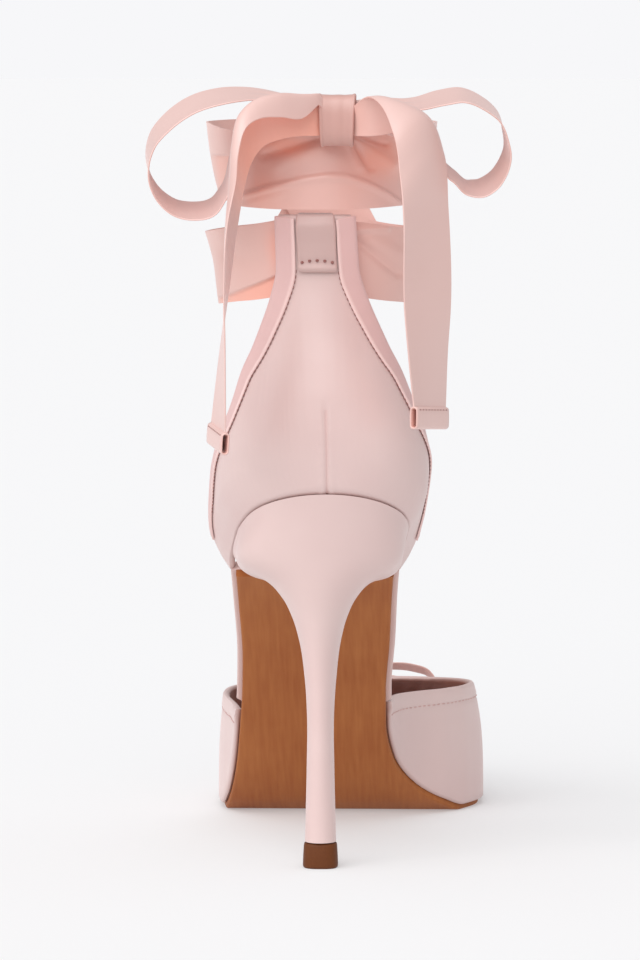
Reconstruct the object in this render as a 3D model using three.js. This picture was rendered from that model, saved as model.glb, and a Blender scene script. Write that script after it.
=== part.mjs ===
// Satin stiletto pump for the left foot, with an ankle ribbon tied in a bow at the back.
// Millimetres. X points to the inner side of the foot, Y to the toe, Z up.
// The origin is on the floor, in the middle of the tread under the ball of the foot.
import * as THREE from 'three';
import { mergeVertices } from 'three/addons/utils/BufferGeometryUtils.js';

// Sizes of the last
const heelReach = 145; // from the origin back to the sole's rear end
const toeReach = 85; // from the origin ahead to the sole's tip
const ballWidth = 82; // sole across the ball
const seatHeight = 110; // underside of the sole line at its rear end
const instepHeight = 125; // last above the waist
const heelRound = 24; // rounding of the seat in plan
const toeRound = 9; // rounding of the toe in plan
const toeBoxRound = 13; // rounding of the toe in height
const boxiness = 3.2; // exponent of the last's cross-section, 2 is an ellipse

// Layers and walls
const outsoleThickness = 2.2;
const insoleThickness = 3;
const gap = 0.3; // between neighbouring pieces
const featherOverhang = 1.7; // upper and insole past the outsole's edge
const upperWall = 1.8;
const insoleEase = 0.9; // insole inside the upper's walls
const bindingThickness = 0.8;
const bindingWidth = 5;
const bindingEndWidth = 2;
const rimEase = 0.2; // binding over the rim
const faceEase = 0.15; // binding beside the wall

// Upper
const vampTopInner = 40; // height of the vamp's topline, inner side
const vampTopOuter = 37; // and outer side
const counterDepth = 49; // from the back of the counter to its front ends
const tabTop = 193.8; // height of the tab at the back
const tabSway = 3.6; // how far the tab leans to the outer side
const counterLean = 6; // how far the tab stands ahead of the heel's bulge

// Heel
const seatDepth = 47; // from the seat's rear end to the breast, where the sole meets the heel
const tipSetback = 18.8; // from the seat's rear end to the middle of the heel's tip
const breast = seatDepth - heelReach;
const heelTipCentre = tipSetback - heelReach;
const heelTipWidth = 10.5;
const heelTipDepth = 9.5;
const topPieceHeight = 7.5;
const topPieceTaper = 0.3; // narrower at its top, on each side
const stemWidth = 8;
const stemDepth = 9.2;

// Ribbon
const ribbonWidth = 22;
const ribbonThickness = 1;
const ankleHalfWidth = 32.5;
const ankleDepth = 82;
const ankleCentre = -1; // across
const ribbonLow = 181.5; // middle of the lower turn, at the back
const ribbonHigh = 207; // middle of the upper turn, at the back
const ribbonEase = 1; // clearance inside the tab
const keeperRoom = 1.5; // between the ribbon and the keeper's inner leg
const ribbonFlare = 0.2; // lean of the ribbon at the sides, in radians
const crossingOffset = 1.7; // each half off the shared line where they cross
const turnSpacing = 4; // upper turn behind the lower one, at the back
const startTurn = 0.6; // degrees, so that the halves meet a gap apart

// Keeper
const keeperWidth = 10.4;
const keeperThickness = 1;
const keeperEase = 0.45; // keeper over the tab
const keeperDrop = 16; // outer leg below the tab's top

// Bow
const knotWidth = 10;
const knotHeight = 15;
const knotDepth = 10;
const knotCentre = 5.6; // across
const knotTop = 229.6;
const loopReach = 50; // from the knot's side to the loop's end
const loopHeight = 34;
const tailLength = 96;
const hemHeight = 6.5;
const hemThickness = 3.2;
const hemSeam = 0.5; // from the end of the plain ribbon to its hem
const tailSteps = 4; // facets across a tail

// Small bow on the vamp
const trimWidth = 8;
const trimThickness = 0.8;
const trimReach = 23;
const trimSetback = 7; // ahead of the throat
const trimKnotWidth = 6;
const trimKnotHeight = 5;

// The sole line from the seat to the toe. at: share of heelReach behind the origin (negative) or of
// toeReach ahead of it; rise: share of seatHeight; outer, inner: edges as shares of ballWidth.
const soleRows = [
  { at: -1, rise: 1, outer: 0.262, inner: 0.324 },
  { at: -0.897, rise: 0.932, outer: 0.266, inner: 0.308 },
  { at: -0.793, rise: 0.859, outer: 0.299, inner: 0.283 },
  { at: -0.69, rise: 0.777, outer: 0.326, inner: 0.259 },
  { at: -0.586, rise: 0.677, outer: 0.326, inner: 0.244 },
  { at: -0.483, rise: 0.545, outer: 0.323, inner: 0.232 },
  { at: -0.379, rise: 0.391, outer: 0.333, inner: 0.213 },
  { at: -0.31, rise: 0.282, outer: 0.348, inner: 0.211 },
  { at: -0.241, rise: 0.177, outer: 0.365, inner: 0.235 },
  { at: -0.172, rise: 0.087, outer: 0.388, inner: 0.311 },
  { at: -0.11, rise: 0.028, outer: 0.412, inner: 0.421 },
  { at: -0.048, rise: 0, outer: 0.43, inner: 0.494 },
  { at: 0.094, rise: 0, outer: 0.446, inner: 0.556 },
  { at: 0.235, rise: 0, outer: 0.441, inner: 0.554 },
  { at: 0.424, rise: 0, outer: 0.396, inner: 0.5 },
  { at: 0.588, rise: 0.012, outer: 0.317, inner: 0.415 },
  { at: 0.741, rise: 0.028, outer: 0.213, inner: 0.317 },
  { at: 0.882, rise: 0.046, outer: 0.098, inner: 0.226 },
  { at: 1, rise: 0.062, outer: 0, inner: 0.152 },
];

// Ridge of the last over the forefoot. height: share of instepHeight.
const ridgeRows = [
  { at: -0.41, height: 1 },
  { at: -0.207, height: 0.784 },
  { at: -0.055, height: 0.608 },
  { at: 0.094, height: 0.472 },
  { at: 0.259, height: 0.336 },
  { at: 0.424, height: 0.284 },
  { at: 0.588, height: 0.242 },
  { at: 0.741, height: 0.208 },
  { at: 0.882, height: 0.18 },
  { at: 1, height: 0.156 },
];

// Heel part of the last above the feather. up: share of the tab's height above the feather;
// swell: widening; lean: share of counterLean, ahead; sway: share of tabSway, to the outer side.
const counterRows = [
  { up: 0, swell: 0, lean: 0, sway: 0 },
  { up: 0.06, swell: 0.12, lean: -0.2, sway: 0 },
  { up: 0.145, swell: 0.225, lean: -0.4, sway: 0 },
  { up: 0.24, swell: 0.25, lean: -0.5, sway: 0.05 },
  { up: 0.34, swell: 0.2, lean: -0.4, sway: 0.12 },
  { up: 0.46, swell: 0.1, lean: -0.05, sway: 0.3 },
  { up: 0.6, swell: 0.02, lean: 0.5, sway: 0.5 },
  { up: 0.78, swell: -0.02, lean: 0.95, sway: 0.75 },
  { up: 1, swell: -0.03, lean: 1, sway: 1 },
];

// The counter's topline from the back seam to a front end. along: share of the way; turn: degrees
// round the heel; level: share of tabTop.
const counterTopRows = [
  { along: 0, turn: 0, level: 1 },
  { along: 0.1, turn: 18.4, level: 1 },
  { along: 0.2, turn: 18.9, level: 0.923 },
  { along: 0.27, turn: 22.7, level: 0.879 },
  { along: 0.36, turn: 29.4, level: 0.831 },
  { along: 0.44, turn: 34.7, level: 0.798 },
  { along: 0.52, turn: 41.3, level: 0.764 },
  { along: 0.62, turn: 49, level: 0.703 },
  { along: 0.74, turn: 62, level: 0.641 },
  { along: 0.87, turn: 76, level: 0.564 },
  { along: 1, turn: 90, level: 0.49 },
];
const tabCorner = counterTopRows[1].along;
// The binding runs from just past the tab's corner to just short of the front end.
const bindingShares = { start: tabCorner + 0.005, end: 0.985 };

// Heel sections from the top piece to just under the seat. up: share of the height at the breast;
// width: share of stemWidth; rear, front: shares of stemDepth from the tip's centre; tilt: slope.
const heelRows = [
  { up: 0, width: 1.16, rear: 0.54, front: 0.5, tilt: 0 },
  { up: 0.28, width: 1.03, rear: 0.6, front: 0.42, tilt: 0 },
  { up: 0.49, width: 1, rear: 0.67, front: 0.4, tilt: 0 },
  { up: 0.65, width: 1.19, rear: 0.81, front: 0.49, tilt: 0 },
  { up: 0.79, width: 1.56, rear: 1.03, front: 0.74, tilt: 0 },
  { up: 0.88, width: 2.05, rear: 1.22, front: 1.12, tilt: 0.03 },
  { up: 0.95, width: 2.7, rear: 1.4, front: 1.55, tilt: 0.06 },
  { up: 1.01, width: 3.7, rear: 1.56, front: 2.2, tilt: 0.12 },
  { up: 1.07, width: 5.55, rear: 1.72, front: 2.8, tilt: 0.27 },
];

// One half of the ankle ribbon, once round from the keeper to the knot. turn: degrees;
// climb: from ribbonLow (0) to ribbonHigh (1).
const wrapRows = [
  { turn: 0, climb: 0 },
  { turn: 12, climb: 0 },
  { turn: 45, climb: -0.08 },
  { turn: 90, climb: -0.16 },
  { turn: 135, climb: -0.13 },
  { turn: 160, climb: -0.06 },
  { turn: 180, climb: 0.52 },
  { turn: 200, climb: 1.1 },
  { turn: 225, climb: 1.14 },
  { turn: 270, climb: 1.13 },
  { turn: 315, climb: 1.03 },
  { turn: 348, climb: 1 },
  { turn: 360, climb: 1 },
];

// Bow loops seen from behind. out: share of loopReach from the knot's side; up: share of loopHeight
// below the knot's top; back: share of ribbonWidth behind the knot; spread: share of ribbonWidth.
const outerLoopRows = [
  { out: 0, up: -0.09, back: -0.06, spread: 0.3 },
  { out: 0.13, up: -0.05, back: -0.08, spread: 0.4 },
  { out: 0.25, up: -0.02, back: -0.12, spread: 0.65 },
  { out: 0.43, up: 0, back: -0.15, spread: 0.88 },
  { out: 0.58, up: -0.02, back: -0.15, spread: 1 },
  { out: 0.74, up: -0.09, back: -0.15, spread: 1 },
  { out: 0.88, up: -0.23, back: -0.15, spread: 1 },
  { out: 0.97, up: -0.39, back: -0.15, spread: 1 },
  { out: 1, up: -0.55, back: -0.15, spread: 1 },
  { out: 0.99, up: -0.71, back: -0.15, spread: 1 },
  { out: 0.93, up: -0.87, back: -0.15, spread: 1 },
  { out: 0.84, up: -0.97, back: -0.15, spread: 1 },
  { out: 0.74, up: -1, back: -0.15, spread: 1 },
  { out: 0.63, up: -0.97, back: -0.15, spread: 1 },
  { out: 0.56, up: -0.84, back: -0.15, spread: 1 },
  { out: 0.49, up: -0.52, back: -0.13, spread: 0.95 },
  { out: 0.33, up: -0.31, back: -0.12, spread: 0.75 },
  { out: 0.14, up: -0.26, back: -0.08, spread: 0.42 },
  { out: 0, up: -0.25, back: -0.06, spread: 0.3 },
];
const innerLoopRows = [
  { out: 0, up: -0.09, back: -0.06, spread: 0.3 },
  { out: 0.15, up: -0.07, back: -0.08, spread: 0.42 },
  { out: 0.36, up: -0.08, back: -0.13, spread: 0.85 },
  { out: 0.5, up: -0.03, back: -0.15, spread: 1 },
  { out: 0.62, up: -0.01, back: -0.15, spread: 1 },
  { out: 0.74, up: -0.08, back: -0.15, spread: 1 },
  { out: 0.83, up: -0.2, back: -0.15, spread: 1 },
  { out: 0.87, up: -0.35, back: -0.15, spread: 1 },
  { out: 0.88, up: -0.5, back: -0.15, spread: 1 },
  { out: 0.85, up: -0.64, back: -0.15, spread: 1 },
  { out: 0.8, up: -0.74, back: -0.15, spread: 1 },
  { out: 0.73, up: -0.8, back: -0.15, spread: 1 },
  { out: 0.65, up: -0.79, back: -0.15, spread: 1 },
  { out: 0.57, up: -0.7, back: -0.15, spread: 1 },
  { out: 0.42, up: -0.5, back: -0.12, spread: 0.9 },
  { out: 0.22, up: -0.32, back: -0.1, spread: 0.55 },
  { out: 0, up: -0.26, back: -0.06, spread: 0.3 },
];

// Tails, a row for each section of the ribbon: its near edge, middle and far edge. Each is out (share of
// loopReach from the knot's side), down (of tailLength under the knot's top) and back (of ribbonWidth
// behind the knot's centre).
const outerTailRows = [
  { near: [0, 0.031, 0.26], middle: [0, 0.006, 0.195], far: [0, 0.124, 0.16] },
  { near: [0.086, 0.07, 0.49], middle: [0.096, 0.002, 0.355], far: [0.1, 0.124, 0.26] },
  { near: [0.206, 0.066, 0.72], middle: [0.216, 0, 0.535], far: [0.206, 0.132, 0.37] },
  { near: [0.316, 0.069, 0.9], middle: [0.346, 0.018, 0.673], far: [0.306, 0.152, 0.44] },
  { near: [0.396, 0.095, 1.036], middle: [0.442, 0.067, 0.81], far: [0.37, 0.192, 0.49] },
  { near: [0.44, 0.173, 1.173], middle: [0.484, 0.162, 0.9], far: [0.418, 0.264, 0.53] },
  { near: [0.454, 0.258, 1.264], middle: [0.494, 0.258, 0.945], far: [0.446, 0.34, 0.53] },
  { near: [0.494, 0.366, 1.355], middle: [0.51, 0.368, 0.968], far: [0.474, 0.433, 0.536] },
  { near: [0.516, 0.569, 1.445], middle: [0.524, 0.579, 0.968], far: [0.518, 0.6, 0.49] },
  { near: [0.512, 0.746, 1.445], middle: [0.536, 0.746, 0.96], far: [0.558, 0.746, 0.473] },
  { near: [0.51, 1.01, 1.427], middle: [0.562, 1.002, 0.945], far: [0.616, 0.994, 0.464] },
];
const innerTailRows = [
  { near: [0, 0.033, 0.218], middle: [0, 0.069, 0.182], far: [0, 0.124, 0.155] },
  { near: [0.056, 0.011, 0.423], middle: [0.072, 0.05, 0.332], far: [0.092, 0.124, 0.26] },
  { near: [0.114, 0.011, 0.65], middle: [0.172, 0.021, 0.468], far: [0.202, 0.116, 0.3] },
  { near: [0.186, 0.051, 0.923], middle: [0.292, 0.025, 0.65], far: [0.332, 0.09, 0.36] },
  { near: [0.24, 0.123, 1.127], middle: [0.382, 0.055, 0.786], far: [0.44, 0.1, 0.418] },
  { near: [0.276, 0.244, 1.264], middle: [0.434, 0.168, 0.9], far: [0.514, 0.173, 0.509] },
  { near: [0.296, 0.365, 1.336], middle: [0.42, 0.345, 0.927], far: [0.542, 0.34, 0.518] },
  { near: [0.302, 0.635, 1.355], middle: [0.43, 0.631, 0.945], far: [0.558, 0.627, 0.536] },
  { near: [0.326, 0.779, 1.373], middle: [0.434, 0.775, 0.936], far: [0.54, 0.771, 0.5] },
  { near: [0.356, 0.93, 1.39], middle: [0.442, 0.938, 0.932], far: [0.528, 0.945, 0.473] },
];

// A loop of the small bow. out: share of trimReach; lift: share of trimKnotHeight.
const trimLoopRows = [
  { out: 0, lift: 0.3 },
  { out: 0.4, lift: 0.08 },
  { out: 0.8, lift: 0.08 },
  { out: 0.97, lift: 0.3 },
  { out: 1, lift: 0.6 },
  { out: 0.94, lift: 0.9 },
  { out: 0.7, lift: 1 },
  { out: 0.35, lift: 0.9 },
  { out: 0, lift: 0.7 },
];

// Small helpers
const probe = 0.05; // step of the numeric slopes
const turnProbe = 0.002; // the same for a turn, in radians
const radians = THREE.MathUtils.degToRad;
const mix = THREE.MathUtils.lerp;
const smoothstep = THREE.MathUtils.smoothstep;
const reach = (share) => (share < 0 ? share * heelReach : share * toeReach);
const steps = (count) => Array.from({ length: count + 1 }, (_, i) => i / count);

// Smooth curve through one column of a table, without overshoot, straight past its ends.
function smooth(rows, at, name) {
  const x = rows.map((row) => row[at]);
  const y = rows.map((row) => row[name]);
  const last = x.length - 1;
  const rise = x.slice(1).map((value, i) => (y[i + 1] - y[i]) / (value - x[i]));
  const slope = x.map((_, i) => {
    if (i === 0) return rise[0];
    if (i === last) return rise[last - 1];
    const product = rise[i - 1] * rise[i];
    return product > 0 ? (2 * product) / (rise[i - 1] + rise[i]) : 0;
  });
  return (t) => {
    if (t <= x[0]) return y[0] + slope[0] * (t - x[0]);
    if (t >= x[last]) return y[last] + slope[last] * (t - x[last]);
    const i = x.findIndex((value) => value > t) - 1;
    const step = x[i + 1] - x[i];
    const s = (t - x[i]) / step;
    const start = (1 + 2 * s) * (1 - s) ** 2 * y[i] + s * (1 - s) ** 2 * step * slope[i];
    const end = s * s * (3 - 2 * s) * y[i + 1] + s * s * (s - 1) * step * slope[i + 1];
    return start + end;
  };
}

// Where a falling function reaches a value, by halving.
function whereFalls(f, value, from, to) {
  let low = from;
  let high = to;
  for (let i = 0; i < 40; i += 1) {
    const middle = (low + high) / 2;
    if (f(middle) > value) low = middle;
    else high = middle;
  }
  return (low + high) / 2;
}

// Closed solid between two grids of points of the same size: both faces and the four rims.
function shell(face, back) {
  const rows = face.length;
  const columns = face[0].length;
  const points = [...face.flat(), ...back.flat()];
  const triangles = [];
  const front = (i, j) => i * columns + j;
  const rear = (i, j) => rows * columns + i * columns + j;
  const quad = (a, b, c, d) => triangles.push([a, b, c], [a, c, d]);
  for (let i = 0; i < rows - 1; i += 1) {
    for (let j = 0; j < columns - 1; j += 1) {
      quad(front(i, j), front(i + 1, j), front(i + 1, j + 1), front(i, j + 1));
      quad(rear(i, j), rear(i, j + 1), rear(i + 1, j + 1), rear(i + 1, j));
    }
    quad(front(i, 0), rear(i, 0), rear(i + 1, 0), front(i + 1, 0));
    quad(front(i + 1, columns - 1), rear(i + 1, columns - 1), rear(i, columns - 1), front(i, columns - 1));
  }
  for (let j = 0; j < columns - 1; j += 1) {
    quad(front(0, j + 1), rear(0, j + 1), rear(0, j), front(0, j));
    quad(front(rows - 1, j), rear(rows - 1, j), rear(rows - 1, j + 1), front(rows - 1, j + 1));
  }
  return closed(points, triangles);
}

// Closed solid through rings of points, with a fan over each end.
function loft(rings) {
  const count = rings[0].length;
  const middle = (ring) => ring.reduce((sum, p) => sum.map((v, k) => v + p[k] / count), [0, 0, 0]);
  const points = [...rings.flat(), middle(rings[0]), middle(rings.at(-1))];
  const triangles = [];
  rings.slice(1).forEach((_, i) => {
    for (let j = 0; j < count; j += 1) {
      const next = (j + 1) % count;
      const [a, b] = [i * count + j, i * count + next];
      triangles.push([a, b, b + count], [a, b + count, a + count]);
    }
  });
  const top = (rings.length - 1) * count;
  for (let j = 0; j < count; j += 1) {
    const next = (j + 1) % count;
    triangles.push([points.length - 2, next, j], [points.length - 1, top + j, top + next]);
  }
  return closed(points, triangles);
}

// Geometry with merged vertices, no empty triangles and its faces pointing out.
function closed(points, triangles) {
  const raw = new THREE.BufferGeometry();
  raw.setAttribute('position', new THREE.Float32BufferAttribute(points.flat(), 3));
  raw.setIndex(triangles.flat());
  const geometry = mergeVertices(raw, 0.001);
  const index = Array.from(geometry.index.array);
  const place = geometry.attributes.position;
  const corner = (i) => new THREE.Vector3().fromBufferAttribute(place, i);
  const kept = [];
  let volume = 0;
  for (let i = 0; i < index.length; i += 3) {
    const [a, b, c] = index.slice(i, i + 3);
    if (a !== b && b !== c && c !== a) {
      kept.push([a, b, c]);
      volume += corner(a).dot(corner(b).cross(corner(c)));
    }
  }
  geometry.setIndex((volume < 0 ? kept.map(([a, b, c]) => [a, c, b]) : kept).flat());
  geometry.computeVertexNormals();
  return geometry;
}

// The last: sole line, outline and feather
const soleStations = soleRows.map((row) => ({
  y: reach(row.at),
  z: row.rise * seatHeight,
  outer: row.outer * ballWidth,
  inner: row.inner * ballWidth,
}));
const soleHeight = smooth(soleStations, 'y', 'z');
const outerEdge = smooth(soleStations, 'y', 'outer');
const innerEdge = smooth(soleStations, 'y', 'inner');
const insoleLevel = outsoleThickness + gap;

// Point of the side profile, a given distance above the sole's underside and square to it.
function profile(y, above) {
  const slope = (soleHeight(y + probe) - soleHeight(y - probe)) / (2 * probe);
  const length = Math.hypot(1, slope);
  return { y: y - (above * slope) / length, z: soleHeight(y) + above / length };
}

// Quarter round: 0 at the end, 1 from the radius on.
function roundEnd(distance, radius) {
  const inside = Math.min(Math.max(distance / radius, 0), 1);
  return Math.sqrt(1 - (1 - inside) ** 2);
}

// Middle and half width of the outline, moved outwards by a distance.
function outline(y, outward) {
  const middle = (innerEdge(y) - outerEdge(y)) / 2;
  const half = (innerEdge(y) + outerEdge(y)) / 2 + outward;
  const rear = roundEnd(heelReach + y + outward, heelRound + outward);
  const front = roundEnd(toeReach - y + outward, toeRound + outward);
  return { middle, half: half * rear * front };
}

// Plate along the sole line between two levels, its edge moved outwards by a function of y.
function plate(stations, outward, low, high) {
  const grid = (level) =>
    stations.map((y) => {
      const { middle, half } = outline(y, outward(y));
      const at = profile(y, level);
      return [-1, 0, 1].map((side) => [middle + side * half, at.y, at.z]);
    });
  return shell(grid(low), grid(high));
}

// Vamp: cross-sections of the last over the feather, cut at the topline
const ridgeStations = ridgeRows.map((row) => ({ y: reach(row.at), z: row.height * instepHeight }));
const ridge = smooth(ridgeStations, 'y', 'z');
const power = (value, exponent) => Math.sign(value) * Math.abs(value) ** exponent;

function vampPoint(y, angle, inset) {
  const outward = featherOverhang - inset;
  const { middle, half } = outline(y, outward);
  const foot = profile(y, insoleLevel);
  const box = roundEnd(toeReach - y + outward, toeBoxRound + outward);
  const height = (ridge(foot.y) - inset - foot.z) * box;
  const side = Math.cos(angle);
  const rise = Math.max(Math.sin(angle), 0);
  return [middle + half * power(side, 2 / boxiness), foot.y, foot.z + height * rise ** (2 / boxiness)];
}

function vampTopline(angle) {
  const height = mix(vampTopInner, vampTopOuter, (1 - Math.cos(angle)) / 2);
  return whereFalls((y) => vampPoint(y, angle, 0)[2], height, reach(soleRows[4].at), toeReach);
}
const wingStart = Math.min(vampTopline(0), vampTopline(Math.PI));

function vampGrid(inset) {
  const turns = steps(30).map((s) => Math.PI * (s - (0.8 * Math.sin(2 * Math.PI * s)) / (2 * Math.PI)));
  const tip = toeReach + featherOverhang - inset;
  return turns.map((angle) => {
    const start = vampTopline(angle);
    return steps(20).map((t) => vampPoint(mix(start, tip, 1 - (1 - t) ** 1.5), angle, inset));
  });
}

// Counter: the heel part of the last, by the turn round the heel and the height over the feather
const counterBack = -heelReach - featherOverhang;
const tabHeight = tabTop - profile(counterBack, insoleLevel).z;
const swell = smooth(counterRows, 'up', 'swell');
const lean = smooth(counterRows, 'up', 'lean');
const sway = smooth(counterRows, 'up', 'sway');
const counterFeather = (turn) => counterBack + counterDepth * (1 - Math.cos(turn));

function counterPoint(turn, height) {
  const y = counterFeather(turn);
  const { middle, half } = outline(y, featherOverhang);
  const foot = profile(y, insoleLevel);
  const up = height / tabHeight;
  const x = middle + Math.sign(turn) * half * (1 + swell(up)) - tabSway * sway(up);
  return new THREE.Vector3(x, foot.y + counterLean * lean(up) * Math.cos(turn), foot.z + height);
}

function counterFrame(turn, height) {
  const rise = (a, b, step) => b.sub(a).divideScalar(2 * step);
  const [before, after] = [-turnProbe, turnProbe].map((step) => counterPoint(turn + step, height));
  const [below, above] = [-probe, probe].map((step) => counterPoint(turn, height + step));
  const [alongTurn, alongHeight] = [rise(before, after, turnProbe), rise(below, above, probe)];
  return { alongTurn, alongHeight, normal: alongTurn.clone().cross(alongHeight).normalize() };
}

// Point off the counter's outer face; a negative distance goes inwards.
function offCounter(turn, height, out) {
  const { normal } = counterFrame(turn, height);
  return counterPoint(turn, height).addScaledVector(normal, out).toArray();
}

const topTurn = smooth(counterTopRows, 'along', 'turn');
const topLevel = smooth(counterTopRows, 'along', 'level');
function counterTopline(along) {
  const turn = radians(topTurn(Math.abs(along))) * Math.sign(along);
  return { turn, height: topLevel(Math.abs(along)) * tabTop - profile(counterFeather(turn), insoleLevel).z };
}

const edgeStations = steps(17).map((s) => mix(bindingShares.start, bindingShares.end, s));

function counterGrid(inset) {
  const half = [tabCorner / 2, tabCorner, ...edgeStations, 1];
  const columns = [...half.map((value) => -value).reverse(), 0, ...half];
  return columns.map((along) => {
    const top = counterTopline(along);
    const foot = radians(90) * along;
    return steps(16).map((v) => offCounter(mix(foot, top.turn, v), top.height * v, -inset));
  });
}

// Step along the counter's face, square to the topline, away from the edge.
function fromTopline(along, distance) {
  const small = 2 * turnProbe * Math.sign(along);
  const here = counterTopline(along);
  const next = counterTopline(along + small);
  const tangent = counterPoint(next.turn, next.height).sub(counterPoint(here.turn, here.height)).normalize();
  const parts = 3;
  let { turn, height } = here;
  for (let i = 0; i < parts; i += 1) {
    const { alongTurn, alongHeight, normal } = counterFrame(turn, height);
    const into = normal.clone().cross(tangent).multiplyScalar(-Math.sign(along) * (distance / parts));
    const [aa, ab, bb] = [alongTurn.dot(alongTurn), alongTurn.dot(alongHeight), alongHeight.dot(alongHeight)];
    const [a, b] = [into.dot(alongTurn), into.dot(alongHeight)];
    turn += (a * bb - b * ab) / (aa * bb - ab * ab);
    height += (b * aa - a * ab) / (aa * bb - ab * ab);
  }
  return { turn, height };
}

// Folded binding over the topline of one side, a U in section.
function bindingSolid(side) {
  const alongs = edgeStations.map((along) => side * along);
  const fold = (clear) =>
    alongs.map((along) => {
      const narrowing = smoothstep(Math.abs(along), 0.7, 1);
      const leg = mix(bindingWidth, bindingEndWidth, narrowing);
      const legs = [leg, leg / 2, -clear - rimEase].map((distance) => fromTopline(along, distance));
      const outside = legs.map((at) => offCounter(at.turn, at.height, clear + faceEase));
      const inside = legs.map((at) => offCounter(at.turn, at.height, -upperWall - clear - faceEase));
      return [...outside, ...inside.reverse()];
    });
  return shell(fold(gap + bindingThickness), fold(gap));
}

// Keeper: a strap over the tab's top that holds the ribbon against the tab's inside
const ribbonInset = upperWall + gap + bindingThickness + ribbonEase;
const keeperInset = ribbonInset + ribbonThickness + keeperRoom;
function keeperSolid() {
  const hem = ribbonLow - ribbonWidth / 2 - gap;
  const across = (turn) => -Math.abs(counterPoint(turn, tabHeight).x - counterPoint(0, tabHeight).x);
  const edge = whereFalls(across, -keeperWidth / 2, 0, radians(40));
  const path = (thick) => [
    [tabTop - keeperDrop, keeperEase + thick],
    [tabTop - keeperDrop / 2, keeperEase + thick],
    [tabTop + gap + thick, keeperEase + thick],
    [tabTop + gap + thick, -keeperInset - thick],
    [(tabTop + hem) / 2, -keeperInset - thick],
    [hem - thick, -keeperInset - thick],
    [hem - thick, -upperWall - keeperEase],
  ];
  const grid = (thick) =>
    path(thick).map(([level, out]) =>
      steps(4).map((s) => {
        const turn = mix(-edge, edge, s);
        return offCounter(turn, level - profile(counterFeather(turn), insoleLevel).z, out);
      }),
    );
  return shell(grid(keeperThickness), grid(0));
}

// Heel: sections from the top piece to the seat
const breastHeight = soleHeight(breast);
function heelSection(row) {
  const centre = mix(0, outline(breast, 0).middle / 2, Math.max(row.up - 0.7, 0));
  const base = topPieceHeight + gap;
  const height = mix(base, breastHeight, row.up);
  return steps(28).slice(1).map((s) => {
    const angle = 2 * Math.PI * s;
    const [side, ahead] = [Math.cos(angle), Math.sin(angle)];
    const squareness = ahead > 0 ? 2 / 3 : 1;
    const depth = stemDepth * (ahead > 0 ? row.front : row.rear);
    const along = depth * power(ahead, squareness);
    const x = centre + (stemWidth / 2) * row.width * power(side, squareness);
    return [x, heelTipCentre + along, height - row.tilt * along];
  });
}

function seatSection() {
  const rear = -heelReach - featherOverhang;
  return steps(28).slice(1).map((s) => {
    const angle = 2 * Math.PI * s;
    const [side, ahead] = [Math.cos(angle), Math.sin(angle)];
    const middleY = (rear + breast) / 2;
    const y = middleY + ((breast - rear) / 2) * power(ahead, ahead > 0 ? 0.4 : 1);
    // Rounded, so that the rear end lies in the middle.
    const limit = ahead > 0 ? power(side, 0.4) : Math.sign(Math.round(side * 1e6));
    const { middle, half } = outline(y, featherOverhang);
    const at = profile(y, outsoleThickness);
    return [middle + half * limit, at.y, at.z];
  });
}

function topPieceSection(height, grow) {
  return steps(20).slice(1).map((s) => {
    const angle = 2 * Math.PI * s;
    const x = (heelTipWidth / 2 + grow) * power(Math.cos(angle), 0.75);
    return [x, heelTipCentre + (heelTipDepth / 2 + grow) * power(Math.sin(angle), 0.75), height];
  });
}

// Strip of ribbon along stations with a point, the direction across and its width and thickness
function strip(stations) {
  const faces = stations.map((station, i) => {
    const before = stations[Math.max(i - 1, 0)].point;
    const after = stations[Math.min(i + 1, stations.length - 1)].point;
    const tangent = after.clone().sub(before).normalize();
    const across = station.across.clone().addScaledVector(tangent, -station.across.dot(tangent)).normalize();
    const normal = tangent.clone().cross(across);
    return [1, -1].map((face) =>
      [-0.5, 0.5].map((side) =>
        station.point
          .clone()
          .addScaledVector(across, side * station.width)
          .addScaledVector(normal, (face * station.thickness) / 2)
          .toArray(),
      ),
    );
  });
  return shell(faces.map((face) => face[0]), faces.map((face) => face[1]));
}

// One half of the ankle ribbon. side: 1 starts to the inner side, -1 to the outer side.
const ribbonFoot = profile(counterBack, insoleLevel).z;
const ankleBack = offCounter(0, ribbonLow - ribbonFoot, -ribbonInset - ribbonThickness / 2)[1];
const climb = smooth(wrapRows, 'turn', 'climb');
function ankleHalf(side) {
  const stations = steps(48).map((s) => {
    const turn = mix(startTurn, 360 - startTurn, s);
    const angle = radians(turn);
    const front = smoothstep(Math.abs(Math.cos(angle / 2)), 0, 0.75);
    const off = side * -crossingOffset * (1 - front);
    const flare = ribbonFlare * Math.sin(angle) ** 4;
    const behind = turn > 180 ? turnSpacing * Math.max(Math.cos(angle), 0) : 0;
    const x = ankleCentre + side * (ankleHalfWidth + off) * Math.sin(angle);
    const y = ankleBack + (ankleDepth / 2) * (1 - Math.cos(angle)) - off * Math.cos(angle) - behind;
    const z = mix(ribbonLow, ribbonHigh, climb(turn));
    const out = new THREE.Vector3(side * Math.sin(angle), -Math.cos(angle), 0);
    const across = out.multiplyScalar(Math.sin(flare)).add(new THREE.Vector3(0, 0, Math.cos(flare)));
    return { point: new THREE.Vector3(x, y, z), across, width: ribbonWidth, thickness: ribbonThickness };
  });
  return strip(stations);
}

// Bow: knot, loops and tails
const wrapBack = ankleBack - turnSpacing - ribbonThickness / 2;
const knotY = wrapBack - gap - knotDepth / 2;
function knotRing(height, grow) {
  return steps(16).slice(1).map((s) => {
    const angle = 2 * Math.PI * s;
    const x = knotCentre + (knotWidth / 2) * grow * power(Math.cos(angle), 0.6);
    return [x, knotY + (knotDepth / 2) * power(Math.sin(angle), 0.6), height];
  });
}

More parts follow.
